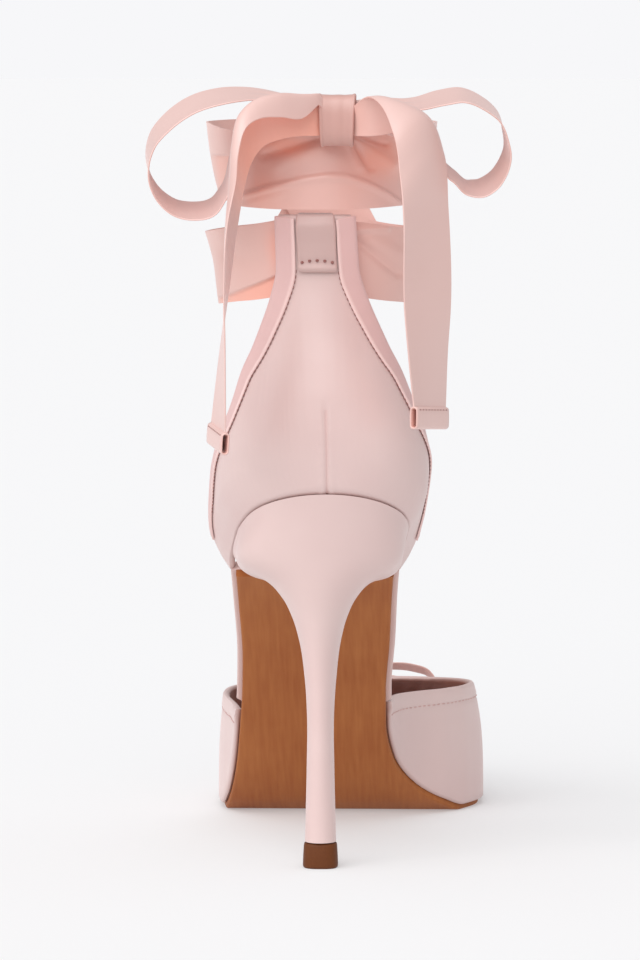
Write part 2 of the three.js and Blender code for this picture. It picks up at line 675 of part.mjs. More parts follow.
// Knot between knotTop and knotHeight below it. The shares are its width at five heights.
function knotSolid() {
  const bottom = knotTop - knotHeight;
  const shares = [[0, 0.94], [0.25, 0.98], [0.5, 0.96], [0.75, 0.98], [1, 1]];
  return loft(shares.map(([up, grow]) => knotRing(mix(bottom, knotTop, up), grow)));
}

// The loops stand nearly edge-on to the back, their far edge a little higher.
const loopAcross = new THREE.Vector3(-0.11, 0.97, 0.2);
function loopSolid(rows, side) {
  const start = knotCentre + side * (knotWidth / 2 + gap);
  return strip(
    rows.map((row) => ({
      point: new THREE.Vector3(
        start + side * row.out * loopReach,
        knotY - row.back * ribbonWidth,
        knotTop + row.up * loopHeight,
      ),
      across: loopAcross,
      width: ribbonWidth * row.spread,
      thickness: ribbonThickness,
    })),
  );
}

// Tail through its sections: a quadratic curve across near edge, middle and far edge, then the hem.
function tailSolid(rows, side) {
  const start = knotCentre + side * (knotWidth / 2 + gap);
  const place = ([out, down, back]) => {
    const x = start + side * out * loopReach;
    return new THREE.Vector3(x, knotY - back * ribbonWidth, knotTop - down * tailLength);
  };
  const across = (row) => {
    const [near, middle, far] = [row.near, row.middle, row.far].map(place);
    return steps(tailSteps).map((v) =>
      near.clone().multiplyScalar((1 - v) * (1 - 2 * v))
        .addScaledVector(middle, 4 * v * (1 - v))
        .addScaledVector(far, v * (2 * v - 1)),
    );
  };
  const sections = rows.map(across);
  const hem = [0, hemHeight].map((drop) =>
    sections.at(-1).map((point) => point.clone().add(new THREE.Vector3(0, 0, -hemSeam - drop))),
  );
  const grid = [...sections, ...hem];
  const offset = (face) =>
    grid.map((section, i) => {
      const thickness = i < sections.length ? ribbonThickness : hemThickness;
      return section.map((point, j) => {
        const ahead = grid[Math.min(i + 1, grid.length - 1)][j];
        const along = ahead.clone().sub(grid[Math.max(i - 1, 0)][j]);
        const over = section[Math.min(j + 1, tailSteps)].clone().sub(section[Math.max(j - 1, 0)]);
        return point.clone().addScaledVector(along.cross(over).normalize(), (face * thickness) / 2).toArray();
      });
    });
  return shell(offset(1), offset(-1));
}

// Small bow on the vamp, laid along the vamp's own face
const throat = vampTopline(Math.PI / 2);
const trimY = throat + trimSetback;
function onVamp(x, y, lift) {
  const { middle, half } = outline(y, featherOverhang);
  const ratio = Math.min(Math.max((x - middle) / half, -1), 1);
  const angle = Math.acos(power(ratio, boxiness / 2));
  const [, faceY, faceZ] = vampPoint(y, angle, 0);
  return new THREE.Vector3(x, faceY, faceZ + lift);
}
const trimCentre = outline(trimY, featherOverhang).middle;
const trimSlope = onVamp(trimCentre, trimY + 1, 0).sub(onVamp(trimCentre, trimY - 1, 0)).normalize();
const trimBase = 2 * gap + trimThickness;

function trimLoop(side) {
  return strip(
    trimLoopRows.map((row) => ({
      point: onVamp(
        trimCentre + side * (trimKnotWidth / 2 + gap + row.out * trimReach),
        trimY,
        trimBase + row.lift * trimKnotHeight,
      ),
      across: trimSlope,
      width: trimWidth * mix(0.6, 1, Math.min(row.out * 2, 1)),
      thickness: trimThickness,
    })),
  );
}

function trimKnot() {
  const ring = (lift, grow) =>
    steps(12).slice(1).map((s) => {
      const angle = 2 * Math.PI * s;
      const x = trimCentre + (trimKnotWidth / 2) * grow * power(Math.cos(angle), 0.7);
      const ahead = (trimWidth / 2) * grow * power(Math.sin(angle), 0.7);
      return onVamp(x, trimY, lift).addScaledVector(trimSlope, ahead).toArray();
    });
  const bottom = ring(trimBase - trimThickness, 0.9);
  const middle = ring(trimBase + trimKnotHeight * 0.4, 1);
  return loft([bottom, middle, ring(trimBase + trimKnotHeight, 0.9)]);
}

// Finishes
const satin = new THREE.MeshStandardMaterial({ color: '#e9cfcb', roughness: 0.42, metalness: 0 });
const grosgrain = new THREE.MeshStandardMaterial({ color: '#dcb5b0', roughness: 0.7, metalness: 0 });
const ribbonSatin = new THREE.MeshStandardMaterial({ color: '#f0bfb4', roughness: 0.4, metalness: 0 });
const soleLeather = new THREE.MeshStandardMaterial({ color: '#b87a4b', roughness: 0.6, metalness: 0 });
const tipRubber = new THREE.MeshStandardMaterial({ color: '#7a4a34', roughness: 0.7, metalness: 0 });

const shoe = new THREE.Group();
function add(name, geometry, finish) {
  const mesh = new THREE.Mesh(geometry, finish);
  mesh.name = name;
  shoe.add(mesh);
}

// Stations along the sole, closer together towards the toe.
const towardsToe = (from, to, count) => steps(count).map((t) => mix(from, to, 1 - (1 - t) ** 1.5));
add('outsole', plate(towardsToe(breast + gap, toeReach, 44), () => 0, 0, outsoleThickness), soleLeather);

const insideWalls = featherOverhang - upperWall - insoleEase;
const toeRelief = 3;
const openFrom = counterFeather(radians(90)) + 2 * gap;
const openTo = wingStart - 2 * gap;
const insoleOutward = (y) => (y >= openFrom && y <= openTo ? featherOverhang : insideWalls);
const heelPart = steps(12).map((t) => mix(-heelReach - insideWalls, openFrom - gap, t ** 1.6));
const waistPart = steps(8).map((t) => mix(openFrom, openTo, t));
const forePart = towardsToe(openTo + gap, toeReach - toeRelief, 32);
add(
  'insole',
  plate([...heelPart, ...waistPart, ...forePart], insoleOutward, insoleLevel, insoleLevel + insoleThickness),
  satin,
);

add('vamp', shell(vampGrid(0), vampGrid(upperWall)), satin);
add('counter', shell(counterGrid(0), counterGrid(upperWall)), satin);
add('binding_outer', bindingSolid(-1), grosgrain);
add('binding_inner', bindingSolid(1), grosgrain);
add('ribbon_keeper', keeperSolid(), satin);
add('heel', loft([...heelRows.map(heelSection), seatSection()]), satin);
add('top_piece', loft([topPieceSection(0, 0), topPieceSection(topPieceHeight, -topPieceTaper)]), tipRubber);
add('ankle_ribbon_outer', ankleHalf(-1), ribbonSatin);
add('ankle_ribbon_inner', ankleHalf(1), ribbonSatin);
add('bow_knot', knotSolid(), ribbonSatin);
add('bow_loop_outer', loopSolid(outerLoopRows, -1), ribbonSatin);
add('bow_loop_inner', loopSolid(innerLoopRows, 1), ribbonSatin);
add('bow_tail_outer', tailSolid(outerTailRows, -1), ribbonSatin);
add('bow_tail_inner', tailSolid(innerTailRows, 1), ribbonSatin);
add('vamp_bow_knot', trimKnot(), ribbonSatin);
add('vamp_bow_loop_outer', trimLoop(-1), ribbonSatin);
add('vamp_bow_loop_inner', trimLoop(1), ribbonSatin);

export default shoe;
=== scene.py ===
"""Satin stiletto pump for the left foot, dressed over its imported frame.

Lengths are in millimetres, and a mesh is turned to metres when it is made. X points to the inner side
of the foot, Y to the toe and Z up. The origin is on the floor, under the ball of the foot. Every surface
is a grid of points worked out from two parameters, as whole arrays.
"""
import math

import bmesh
import bpy
import numpy as np
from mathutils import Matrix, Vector


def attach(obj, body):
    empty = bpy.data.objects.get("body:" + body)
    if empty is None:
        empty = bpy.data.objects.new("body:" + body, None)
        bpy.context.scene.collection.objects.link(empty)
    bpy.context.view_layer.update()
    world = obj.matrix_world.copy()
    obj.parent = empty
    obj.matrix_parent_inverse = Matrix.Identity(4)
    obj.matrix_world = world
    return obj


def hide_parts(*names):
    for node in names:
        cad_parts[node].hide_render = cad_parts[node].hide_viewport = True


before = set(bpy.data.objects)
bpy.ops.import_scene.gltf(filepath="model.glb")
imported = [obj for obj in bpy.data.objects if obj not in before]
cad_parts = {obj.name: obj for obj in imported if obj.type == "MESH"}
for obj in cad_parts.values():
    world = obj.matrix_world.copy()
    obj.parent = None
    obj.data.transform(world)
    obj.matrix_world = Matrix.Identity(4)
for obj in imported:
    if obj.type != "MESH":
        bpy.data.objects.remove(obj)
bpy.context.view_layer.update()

# Sizes of the last
HEEL_REACH = 145
TOE_REACH = 85
BALL_WIDTH = 82
SEAT_HEIGHT = 110
INSTEP_HEIGHT = 125
HEEL_ROUND = 24
TOE_ROUND = 9
TOE_BOX_ROUND = 13
BOXINESS = 3.2

# Layers and walls. The frame's binding and ribbon are thicker than the ones made here.
OUTSOLE = 2.2
INSOLE = 3
GAP = 0.3
FEATHER = 1.7
UPPER_WALL = 1.8
INSOLE_EASE = 0.9
BINDING = 0.55
BINDING_WIDTH = 5
BINDING_END_WIDTH = 2
FRAME_BINDING = 0.8
FRAME_RIBBON = 1

# Upper: heights of the toplines, and how far the tab stands to the side and ahead
VAMP_TOP_INNER = 40
VAMP_TOP_OUTER = 37
COUNTER_DEPTH = 49
TAB_TOP = 193.8
TAB_SWAY = 3.6
COUNTER_LEAN = 6

# Heel
BREAST = -98
HEEL_TIP_CENTRE = -126.2
HEEL_TIP_WIDTH = 10.5
HEEL_TIP_DEPTH = 9.5
TOP_PIECE_HEIGHT = 7.5
STEM_WIDTH = 8
STEM_DEPTH = 9.2

# Ribbon
RIBBON_WIDTH = 22
RIBBON = 0.45
ANKLE_HALF_WIDTH = 32.5
ANKLE_DEPTH = 82
ANKLE_CENTRE = -1
RIBBON_LOW = 181.5
RIBBON_HIGH = 207
RIBBON_EASE = 1
RIBBON_INSET = UPPER_WALL + GAP + FRAME_BINDING + RIBBON_EASE
RIBBON_FLARE = 0.2
CROSSING_OFFSET = 1.7
BEHIND_LOWER_TURN = 4

# Keeper: how far it stands off the wall, reaches down outside and lies inside, and its stitches' height
KEEPER_WIDTH = 10.4
KEEPER = 0.8
KEEPER_EASE = 0.45
KEEPER_DROP = 16
KEEPER_INSET = 6.4
KEEPER_STITCH = 181

# Bow
KNOT_WIDTH = 10
KNOT_HEIGHT = 15
KNOT_DEPTH = 10
KNOT_CENTRE = 5.6
KNOT_TOP = 229.6
LOOP_REACH = 50
LOOP_HEIGHT = 34
TAIL_LENGTH = 96
HEM_HEIGHT = 6.5
HEM_TUBE = 2.56
HEM_WALL = 0.55
HEM_STITCH_OUT = 1.152

# Small bow on the vamp
TRIM_WIDTH = 8
TRIM = 0.5
TRIM_REACH = 23
TRIM_SETBACK = 7
TRIM_LIFT = 0.4
TRIM_KNOT_WIDTH = 6
TRIM_KNOT_HEIGHT = 5

# Sole line from the seat to the toe: share of the reach behind (negative) or ahead of the origin, rise as a
# share of SEAT_HEIGHT, outer and inner edge as shares of BALL_WIDTH
SOLE_ROWS = np.array([
    (-1, 1, 0.262, 0.324),
    (-0.897, 0.932, 0.266, 0.308),
    (-0.793, 0.859, 0.299, 0.283),
    (-0.69, 0.777, 0.326, 0.259),
    (-0.586, 0.677, 0.326, 0.244),
    (-0.483, 0.545, 0.323, 0.232),
    (-0.379, 0.391, 0.333, 0.213),
    (-0.31, 0.282, 0.348, 0.211),
    (-0.241, 0.177, 0.365, 0.235),
    (-0.172, 0.087, 0.388, 0.311),
    (-0.11, 0.028, 0.412, 0.421),
    (-0.048, 0, 0.43, 0.494),
    (0.094, 0, 0.446, 0.556),
    (0.235, 0, 0.441, 0.554),
    (0.424, 0, 0.396, 0.5),
    (0.588, 0.012, 0.317, 0.415),
    (0.741, 0.028, 0.213, 0.317),
    (0.882, 0.046, 0.098, 0.226),
    (1, 0.062, 0, 0.152),
])
# Ridge over the forefoot: share of the reach, height as a share of INSTEP_HEIGHT
RIDGE_ROWS = np.array([
    (-0.41, 1), (-0.207, 0.784), (-0.055, 0.608), (0.094, 0.472), (0.259, 0.336),
    (0.424, 0.284), (0.588, 0.242), (0.741, 0.208), (0.882, 0.18), (1, 0.156),
])
# Counter above the feather: share of the tab's height, swell, lean and sway
COUNTER_ROWS = np.array([
    (0, 0, 0, 0),
    (0.06, 0.12, -0.2, 0),
    (0.145, 0.225, -0.4, 0),
    (0.24, 0.25, -0.5, 0.05),
    (0.34, 0.2, -0.4, 0.12),
    (0.46, 0.1, -0.05, 0.3),
    (0.6, 0.02, 0.5, 0.5),
    (0.78, -0.02, 0.95, 0.75),
    (1, -0.03, 1, 1),
])
# Counter's topline from the back seam to a front end: share of the way, degrees round the heel, share of
# TAB_TOP
COUNTER_TOP_ROWS = np.array([
    (0, 0, 1), (0.1, 18.4, 1), (0.2, 18.9, 0.923), (0.27, 22.7, 0.879), (0.36, 29.4, 0.831),
    (0.44, 34.7, 0.798), (0.52, 41.3, 0.764), (0.62, 49, 0.703), (0.74, 62, 0.641),
    (0.87, 76, 0.564), (1, 90, 0.49),
])
# Heel from the top piece to the seat: share of the height at the breast, width as a share of STEM_WIDTH,
# rear and front as shares of STEM_DEPTH, slope
HEEL_ROWS = np.array([
    (0, 1.16, 0.54, 0.5, 0),
    (0.28, 1.03, 0.6, 0.42, 0),
    (0.49, 1, 0.67, 0.4, 0),
    (0.65, 1.19, 0.81, 0.49, 0),
    (0.79, 1.56, 1.03, 0.74, 0),
    (0.88, 2.05, 1.22, 1.12, 0.03),
    (0.95, 2.7, 1.4, 1.55, 0.06),
    (1.01, 3.7, 1.56, 2.2, 0.12),
    (1.07, 5.55, 1.72, 2.8, 0.27),
])
# Heel tip: height, and how far its outline grows
TIP_ROWS = np.array([(0, -0.5), (0.35, -0.1), (0.9, 0), (4, -0.12), (6.6, -0.28), (7.2, -0.4), (7.5, -0.8)])
# Half of the ankle ribbon, once round: degrees, climb from RIBBON_LOW to RIBBON_HIGH
WRAP_ROWS = np.array([
    (0, 0), (12, 0), (45, -0.08), (90, -0.16), (135, -0.13), (160, -0.06), (180, 0.52), (200, 1.1),
    (225, 1.14), (270, 1.13), (315, 1.03), (348, 1), (360, 1),
])
# Loops: out as a share of LOOP_REACH, up of LOOP_HEIGHT, back of RIBBON_WIDTH, spread of RIBBON_WIDTH
OUTER_LOOP_ROWS = np.array([
    (0, -0.09, -0.06, 0.3), (0.13, -0.05, -0.08, 0.4), (0.25, -0.02, -0.12, 0.65), (0.43, 0, -0.15, 0.88),
    (0.58, -0.02, -0.15, 1), (0.74, -0.09, -0.15, 1), (0.88, -0.23, -0.15, 1), (0.97, -0.39, -0.15, 1),
    (1, -0.55, -0.15, 1), (0.99, -0.71, -0.15, 1), (0.93, -0.87, -0.15, 1), (0.84, -0.97, -0.15, 1),
    (0.74, -1, -0.15, 1), (0.63, -0.97, -0.15, 1), (0.56, -0.84, -0.15, 1), (0.49, -0.52, -0.13, 0.95),
    (0.33, -0.31, -0.12, 0.75), (0.14, -0.26, -0.08, 0.42), (0, -0.25, -0.06, 0.3),
])
INNER_LOOP_ROWS = np.array([
    (0, -0.09, -0.06, 0.3), (0.15, -0.07, -0.08, 0.42), (0.36, -0.08, -0.13, 0.85), (0.5, -0.03, -0.15, 1),
    (0.62, -0.01, -0.15, 1), (0.74, -0.08, -0.15, 1), (0.83, -0.2, -0.15, 1), (0.87, -0.35, -0.15, 1),
    (0.88, -0.5, -0.15, 1), (0.85, -0.64, -0.15, 1), (0.8, -0.74, -0.15, 1), (0.73, -0.8, -0.15, 1),
    (0.65, -0.79, -0.15, 1), (0.57, -0.7, -0.15, 1), (0.42, -0.5, -0.12, 0.9), (0.22, -0.32, -0.1, 0.55),
    (0, -0.26, -0.06, 0.3),
])
# Tails, a row for each section of the ribbon: its near edge, middle and far edge, each as out of the knot's
# side (share of LOOP_REACH), down from the knot's top (of TAIL_LENGTH) and back (of RIBBON_WIDTH)
OUTER_TAIL_ROWS = np.array([
    ((0, 0.031, 0.26), (0, 0.006, 0.195), (0, 0.124, 0.16)),
    ((0.086, 0.07, 0.49), (0.096, 0.002, 0.355), (0.1, 0.124, 0.26)),
    ((0.206, 0.066, 0.72), (0.216, 0, 0.535), (0.206, 0.132, 0.37)),
    ((0.316, 0.069, 0.9), (0.346, 0.018, 0.673), (0.306, 0.152, 0.44)),
    ((0.396, 0.095, 1.036), (0.442, 0.067, 0.81), (0.37, 0.192, 0.49)),
    ((0.44, 0.173, 1.173), (0.484, 0.162, 0.9), (0.418, 0.264, 0.53)),
    ((0.454, 0.258, 1.264), (0.494, 0.258, 0.945), (0.446, 0.34, 0.53)),
    ((0.494, 0.366, 1.355), (0.51, 0.368, 0.968), (0.474, 0.433, 0.536)),
    ((0.516, 0.569, 1.445), (0.524, 0.579, 0.968), (0.518, 0.6, 0.49)),
    ((0.512, 0.746, 1.445), (0.536, 0.746, 0.96), (0.558, 0.746, 0.473)),
    ((0.51, 1.01, 1.427), (0.562, 1.002, 0.945), (0.616, 0.994, 0.464)),
])
INNER_TAIL_ROWS = np.array([
    ((0, 0.033, 0.218), (0, 0.069, 0.182), (0, 0.124, 0.155)),
    ((0.056, 0.011, 0.423), (0.072, 0.05, 0.332), (0.092, 0.124, 0.26)),
    ((0.114, 0.011, 0.65), (0.172, 0.021, 0.468), (0.202, 0.116, 0.3)),
    ((0.186, 0.051, 0.923), (0.292, 0.025, 0.65), (0.332, 0.09, 0.36)),
    ((0.24, 0.123, 1.127), (0.382, 0.055, 0.786), (0.44, 0.1, 0.418)),
    ((0.276, 0.244, 1.264), (0.434, 0.168, 0.9), (0.514, 0.173, 0.509)),
    ((0.296, 0.365, 1.336), (0.42, 0.345, 0.927), (0.542, 0.34, 0.518)),
    ((0.302, 0.635, 1.355), (0.43, 0.631, 0.945), (0.558, 0.627, 0.536)),
    ((0.326, 0.779, 1.373), (0.434, 0.775, 0.936), (0.54, 0.771, 0.5)),
    ((0.356, 0.93, 1.39), (0.442, 0.938, 0.932), (0.528, 0.945, 0.473)),
])
# Painted glow on the inside of a tail's arch, for light bounced in its shaded channel, on the outer side (-1)
# and the inner side (1)
TAIL_PAINTED_GLOW = {-1: 1.0, 1: 0.3}
# Creases of the ankle ribbon seen from behind: both ends as x and z, height (below 0 a trough), half width
UPPER_CREASES = np.array([
    (-1, 216.5, -15.8, 211.9, -1.2, 1.4), (0, 214, -12, 208.5, 0.6, 2.5), (-3, 211.5, 4, 211.5, 0.7, 4),
    (9.5, 218.2, 18.9, 214.7, -1, 1), (9.5, 217, 14.7, 207.8, -0.9, 0.9), (10.5, 217, 21, 209, 0.9, 2),
    (8.5, 216, 11.5, 208.5, 0.5, 1.2), (-22, 197, -9, 201, 0.4, 2),
])
LOWER_CREASES = np.array([
    (10, 190, 18, 190.3, 0.9, 1.1), (10, 187, 23, 176.6, -0.9, 1.2), (14, 187, 27, 180, 0.6, 2),
    (-31, 184, -18, 180, -0.4, 3),
])
# Lap of the upper turn under the knot, as x and z: the cloth below it lies on top
LAP_ROWS = np.array([
    (-23, 200.2), (-13, 203.2), (-4, 205.6), (2, 206.5), (8, 206.2), (14, 204), (19, 201.2), (24.5, 197.2),
])
# Turned-under edge of the lower turn on the outer side, as x and z
TUCK_ROWS = np.array([(-33, 168.5), (-29.2, 169.8), (-13.2, 176.4), (-8, 178)])
# How far the ribbon steps at the lap, the tucked edge and the second layer
LAP_STEP = 1.1
TUCK_STEP = 1.3
LAYER_STEP = 0.9
# Painted glow of the ribbon, a salmon tone for light bounced between its layers in shade: of its inside, of
# all of its outside, and its patches on the upper turn as strength, x and width, z and width
INSIDE_PAINTED_GLOW = 0.2
BASE_PAINTED_GLOW = 0.26
PAINTED_GLOW_ROWS = [(0.85, -9, 8, 214.5, 3.2), (0.85, 18, 7, 211, 6), (0.4, -18, 7, 200, 8)]
# A loop of the small bow: out as a share of TRIM_REACH, lift of TRIM_KNOT_HEIGHT
TRIM_LOOP_ROWS = np.array([
    (0, 0.3), (0.4, 0.08), (0.8, 0.08), (0.97, 0.3), (1, 0.6), (0.94, 0.9), (0.7, 1), (0.35, 0.9), (0, 0.7),
])
# The small bow's knot: lift over its base, share of its width
TRIM_KNOT_ROWS = [(-0.4, 0.8), (0, 0.95), (1.2, 1), (2.6, 1), (3.8, 0.95), (4.4, 0.7)]
SIDES = ((-1, "outer"), (1, "inner"))

# Strength of the surround as a light and of the floor's own glow, the floor's reach in metres, then the suns
# with their strength, their width in degrees and the way they shine
SURROUND_LIGHT = 0.56
FLOOR_GLOW = 0.334
FLOOR_REACH = 60
SUNS = [
    ("key_sun", 1.75, 56, (0.25, 0.7, -0.67)),
    ("side_sun", 0.4, 40, (0.85, 0.35, -0.4)),
    ("top_sun", 0.4, 60, (0.1, 0.15, -1)),
]

# Camera: the place from which the photograph was taken, in the shoe's frame, turned to the one shoe
CAMERA_PLACE = (60.5, -1630, 240)
CAMERA_AIM = (-0.8, -110, 114.3)
CAMERA_LENS = 287

camera = bpy.data.objects.new("camera", bpy.data.cameras.new("camera"))
bpy.context.collection.objects.link(camera)
camera.location = Vector(CAMERA_PLACE) / 1000
camera.rotation_euler = (Vector(CAMERA_AIM) - Vector(CAMERA_PLACE)).to_track_quat("-Z", "Y").to_euler()
camera.data.sensor_fit = "HORIZONTAL"
camera.data.sensor_width = 36
camera.data.lens = CAMERA_LENS
bpy.context.scene.camera = camera


# Curves and arrays
def mix(a, b, t):
    """Value a at t = 0 and b at t = 1, in a straight line."""
    return a + (b - a) * t


def ease(t, low, high):
    """Smooth step: 0 below low, 1 above high, 3t² - 2t³ between."""
    t = np.clip((np.asarray(t, float) - low) / (high - low), 0, 1)
    return t * t * (3 - 2 * t)


def bump(x, centre, width):
    """Bell curve of height 1: exp(-((x - centre) / width)²)."""
    return np.exp(-(((x - centre) / width) ** 2))


def circle(count):
    """Angles once round, the last the same place as the first."""
    return np.linspace(0, 2 * np.pi, count)


def power(value, exponent):
    """The absolute value raised to the exponent, with the value's sign."""
    return np.sign(value) * np.abs(value) ** exponent


def together(x, y, z):
    """Points from coordinates of any shapes that fit together."""
    return np.stack(np.broadcast_arrays(x, y, z), -1)


def unit(vectors):
    """Vectors scaled to length 1."""
    return vectors / np.maximum(np.linalg.norm(vectors, axis=-1, keepdims=True), 1e-12)


def spans(x, t):
    """Which piece between the values x each t falls in, the share of the way along it, and its length."""
    i = np.clip(np.searchsorted(x, t, side="right") - 1, 0, len(x) - 2)
    step = x[i + 1] - x[i]
    return i, (t - x[i]) / step, step


def cubic(s, step, start, end, slope, end_slope):
    """Cubic piece between two values with their slopes, at the share s of its length."""
    first = (1 + 2 * s) * (1 - s) ** 2 * start + s * (1 - s) ** 2 * step * slope
    return first + (s * s * (3 - 2 * s) * end + s * s * (s - 1) * step * end_slope)


def smooth(x, y):
    """Curve through the points (x, y) that never overshoots: cubic pieces whose slope at a point is the
    harmonic mean of its neighbours' rises, and straight past both ends."""
    rise = np.diff(y) / np.diff(x)
    product = rise[:-1] * rise[1:]
    total = np.where(product > 0, rise[:-1] + rise[1:], 1)
    slope = np.concatenate([rise[:1], np.where(product > 0, 2 * product / total, 0), rise[-1:]])

    def at(t):
        t = np.asarray(t, float)
        i, s, step = spans(x, t)
        inside = cubic(s, step, y[i], y[i + 1], slope[i], slope[i + 1])
        before = y[0] + slope[0] * (t - x[0])
        after = y[-1] + slope[-1] * (t - x[-1])
        return np.where(t <= x[0], before, np.where(t >= x[-1], after, inside))

    return at


def curves(rows):
    """A smooth curve over the first column for each of the others."""
    return [smooth(rows[:, 0], column) for column in rows.T[1:]]


def through(rows, count, length=None):
    """Rows of numbers, resampled to count rows by cubic pieces that pass through each row. The parameter is
    the length along the first three columns, or the one given."""
    if length is None:
        length = run(rows[:, :3])
    slope = np.gradient(rows, length, axis=0)
    i, *parts = spans(length, np.linspace(0, length[-1], count))
    s, step = (part.reshape((-1,) + (1,) * (rows.ndim - 1)) for part in parts)
    return cubic(s, step, rows[i], rows[i + 1], slope[i], slope[i + 1])


def where_falls(f, value, low, high):
    """Where each of an array of falling functions reaches a value, by halving."""
    low, high = np.broadcast_arrays(low, high)
    low, high = low.astype(float), high.astype(float)
    for _ in range(40):
        middle = (low + high) / 2
        above = f(middle) > value
        low, high = np.where(above, middle, low), np.where(above, high, middle)
    return (low + high) / 2


def facing(points):
    """Unit normals of a grid, square to its rows and columns."""
    return unit(np.cross(np.gradient(points, axis=0), np.gradient(points, axis=1)))


def run(line):
    """Length along a line of points, from its first."""
    return np.concatenate([[0], np.cumsum(np.linalg.norm(np.diff(line, axis=0), axis=1))])


def nearest(points, line):
    """Distance from each point to the nearest point of a line."""
    flat = points.reshape(-1, 1, 3)
    return np.concatenate([
        np.linalg.norm(part - line, axis=-1).min(1) for part in np.array_split(flat, len(flat) // 4000 + 1)
    ]).reshape(points.shape[:-1])


def where_reaches(distance, value, *grids):
    """The line where a field on a grid first reaches a value along each row, as points of each grid given."""
    reached = distance.max(1) > value + 2
    rows = np.nonzero(reached)[0]
    column = np.argmax(distance[rows] > value, axis=1)
    before, after = distance[rows, column - 1], distance[rows, column]
    t = ((value - before) / (after - before))[:, None]
    return [mix(grid[rows, column - 1], grid[rows, column], t) for grid in grids]


# Meshes: how far a wall's rim bulges as a share of its thickness, and the angle from which an edge is sharp
RIM_ROUND = 0.4
SHARP = 50


def real_uv(points):
    """Lengths along the rows and columns of a grid in metres, from its first row and its middle column."""
    down = np.linalg.norm(np.diff(points, axis=-3), axis=-1)
    over = np.linalg.norm(np.diff(points, axis=-2), axis=-1)
    pad = [(0, 0)] * (points.ndim - 3)
    u = np.cumsum(np.pad(down, pad + [(1, 0), (0, 0)]), axis=-2).mean(-1, keepdims=True)
    v = np.cumsum(np.pad(over, pad + [(0, 0), (1, 0)]), axis=-1)
    return np.stack([np.broadcast_to(u, v.shape), v - v[..., v.shape[-1] // 2, None]], -1) / 1000


def quads(numbers):
    """Corners of each cell of a grid of vertex numbers."""
    corners = [numbers[..., :-1, :-1], numbers[..., 1:, :-1], numbers[..., 1:, 1:], numbers[..., :-1, 1:]]
    return np.stack(corners, -1).reshape(-1, 4)


def shell(face, back, around=False, rim_rows=3, painted_light=(0, 1)):
    """Grids of a wall between two faces: the faces and a rim on each open side. A rim is the straight way
    from one face to the other, pushed out by RIM_ROUND times the wall's thickness times sin(pi t), and not
    at its corners. around leaves out the two rims along the rows, where the columns close on themselves.
    The marks of the two faces, from 0 to 1, are how far each takes its finish's painted tone: painted glow on
    the ribbons, painted shade on the upper's inside. A rim's marks lie between them."""
    t = np.linspace(0, 1, rim_rows + 2)[:, None, None]
    marks = [np.broadcast_to(mark, face.shape[:-1]) for mark in painted_light]

    def rim(edge, inside):
        front, rear = face[edge], back[edge]
        count = np.arange(len(front))
        ends = 1 if around else np.minimum(1, np.minimum(count, count[::-1]) / 3)[:, None]
        wall = np.linalg.norm(rear - front, axis=-1, keepdims=True)
        push = unit(front - face[inside]) * wall * RIM_ROUND * ends
        return mix(front, rear, t) + push * np.sin(np.pi * t), mix(marks[0][edge], marks[1][edge], t[..., 0])

    rims = [rim(0, 1), rim(-1, -2)]
    if not around:
        every = slice(None)
        rims += [rim((every, 0), (every, 1)), rim((every, -1), (every, -2))]
    return [(face, marks[0]), (back, marks[1])] + rims


def solid(rings):
    """Closed body through rings whose first and last points meet. The middle of the first and the last
    ring is added as a point."""
    ends = [np.broadcast_to(ring[:-1].mean(0), ring.shape) for ring in (rings[0], rings[-1])]
    return [(np.concatenate([ends[:1], rings, ends[1:]]), 0)]


def piece(name, grids, finish, nodes=()):
    """A named mesh from grids of points in millimetres, each with its mark of painted light from 0 to 1.
    Points that coincide are merged, faces point outwards, and edges sharper than SHARP degrees stay sharp. It
    rides on the shoe and stands for the nodes named."""
    points = np.concatenate([grid.reshape(-1, 3) for grid, _ in grids]) / 1000
    uv = np.concatenate([real_uv(grid).reshape(-1, 2) for grid, _ in grids])
    faces, marks, start = [], [], 0
    for grid, mark in grids:
        numbers = np.arange(grid[..., 0].size).reshape(grid.shape[:-1]) + start
        faces.append(quads(numbers))
        marks.append(np.broadcast_to(mark, numbers.shape).ravel().astype(float))
        start += numbers.size
    faces = np.concatenate(faces)
    mesh = bpy.data.meshes.new(name)
    mesh.from_pydata(points, [], faces.tolist())
    mesh.uv_layers.new(name="cloth").data.foreach_set("uv", uv[faces.ravel()].ravel())
    mesh.attributes.new("painted_light", "FLOAT", "POINT").data.foreach_set("value", np.concatenate(marks))
    work = bmesh.new()
    work.from_mesh(mesh)
    bmesh.ops.remove_doubles(work, verts=work.verts, dist=2e-6)
    bmesh.ops.dissolve_degenerate(work, edges=work.edges, dist=1e-7)
    bmesh.ops.recalc_face_normals(work, faces=work.faces)
    work.to_mesh(mesh)
    work.free()
    mesh.shade_smooth()
    mesh.set_sharp_from_angle(angle=math.radians(SHARP))
    mesh.materials.append(finish)
    made = bpy.data.objects.new(name, mesh)
    bpy.context.collection.objects.link(made)
    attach(made, "root")
    if nodes:
        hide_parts(*nodes)
    return made


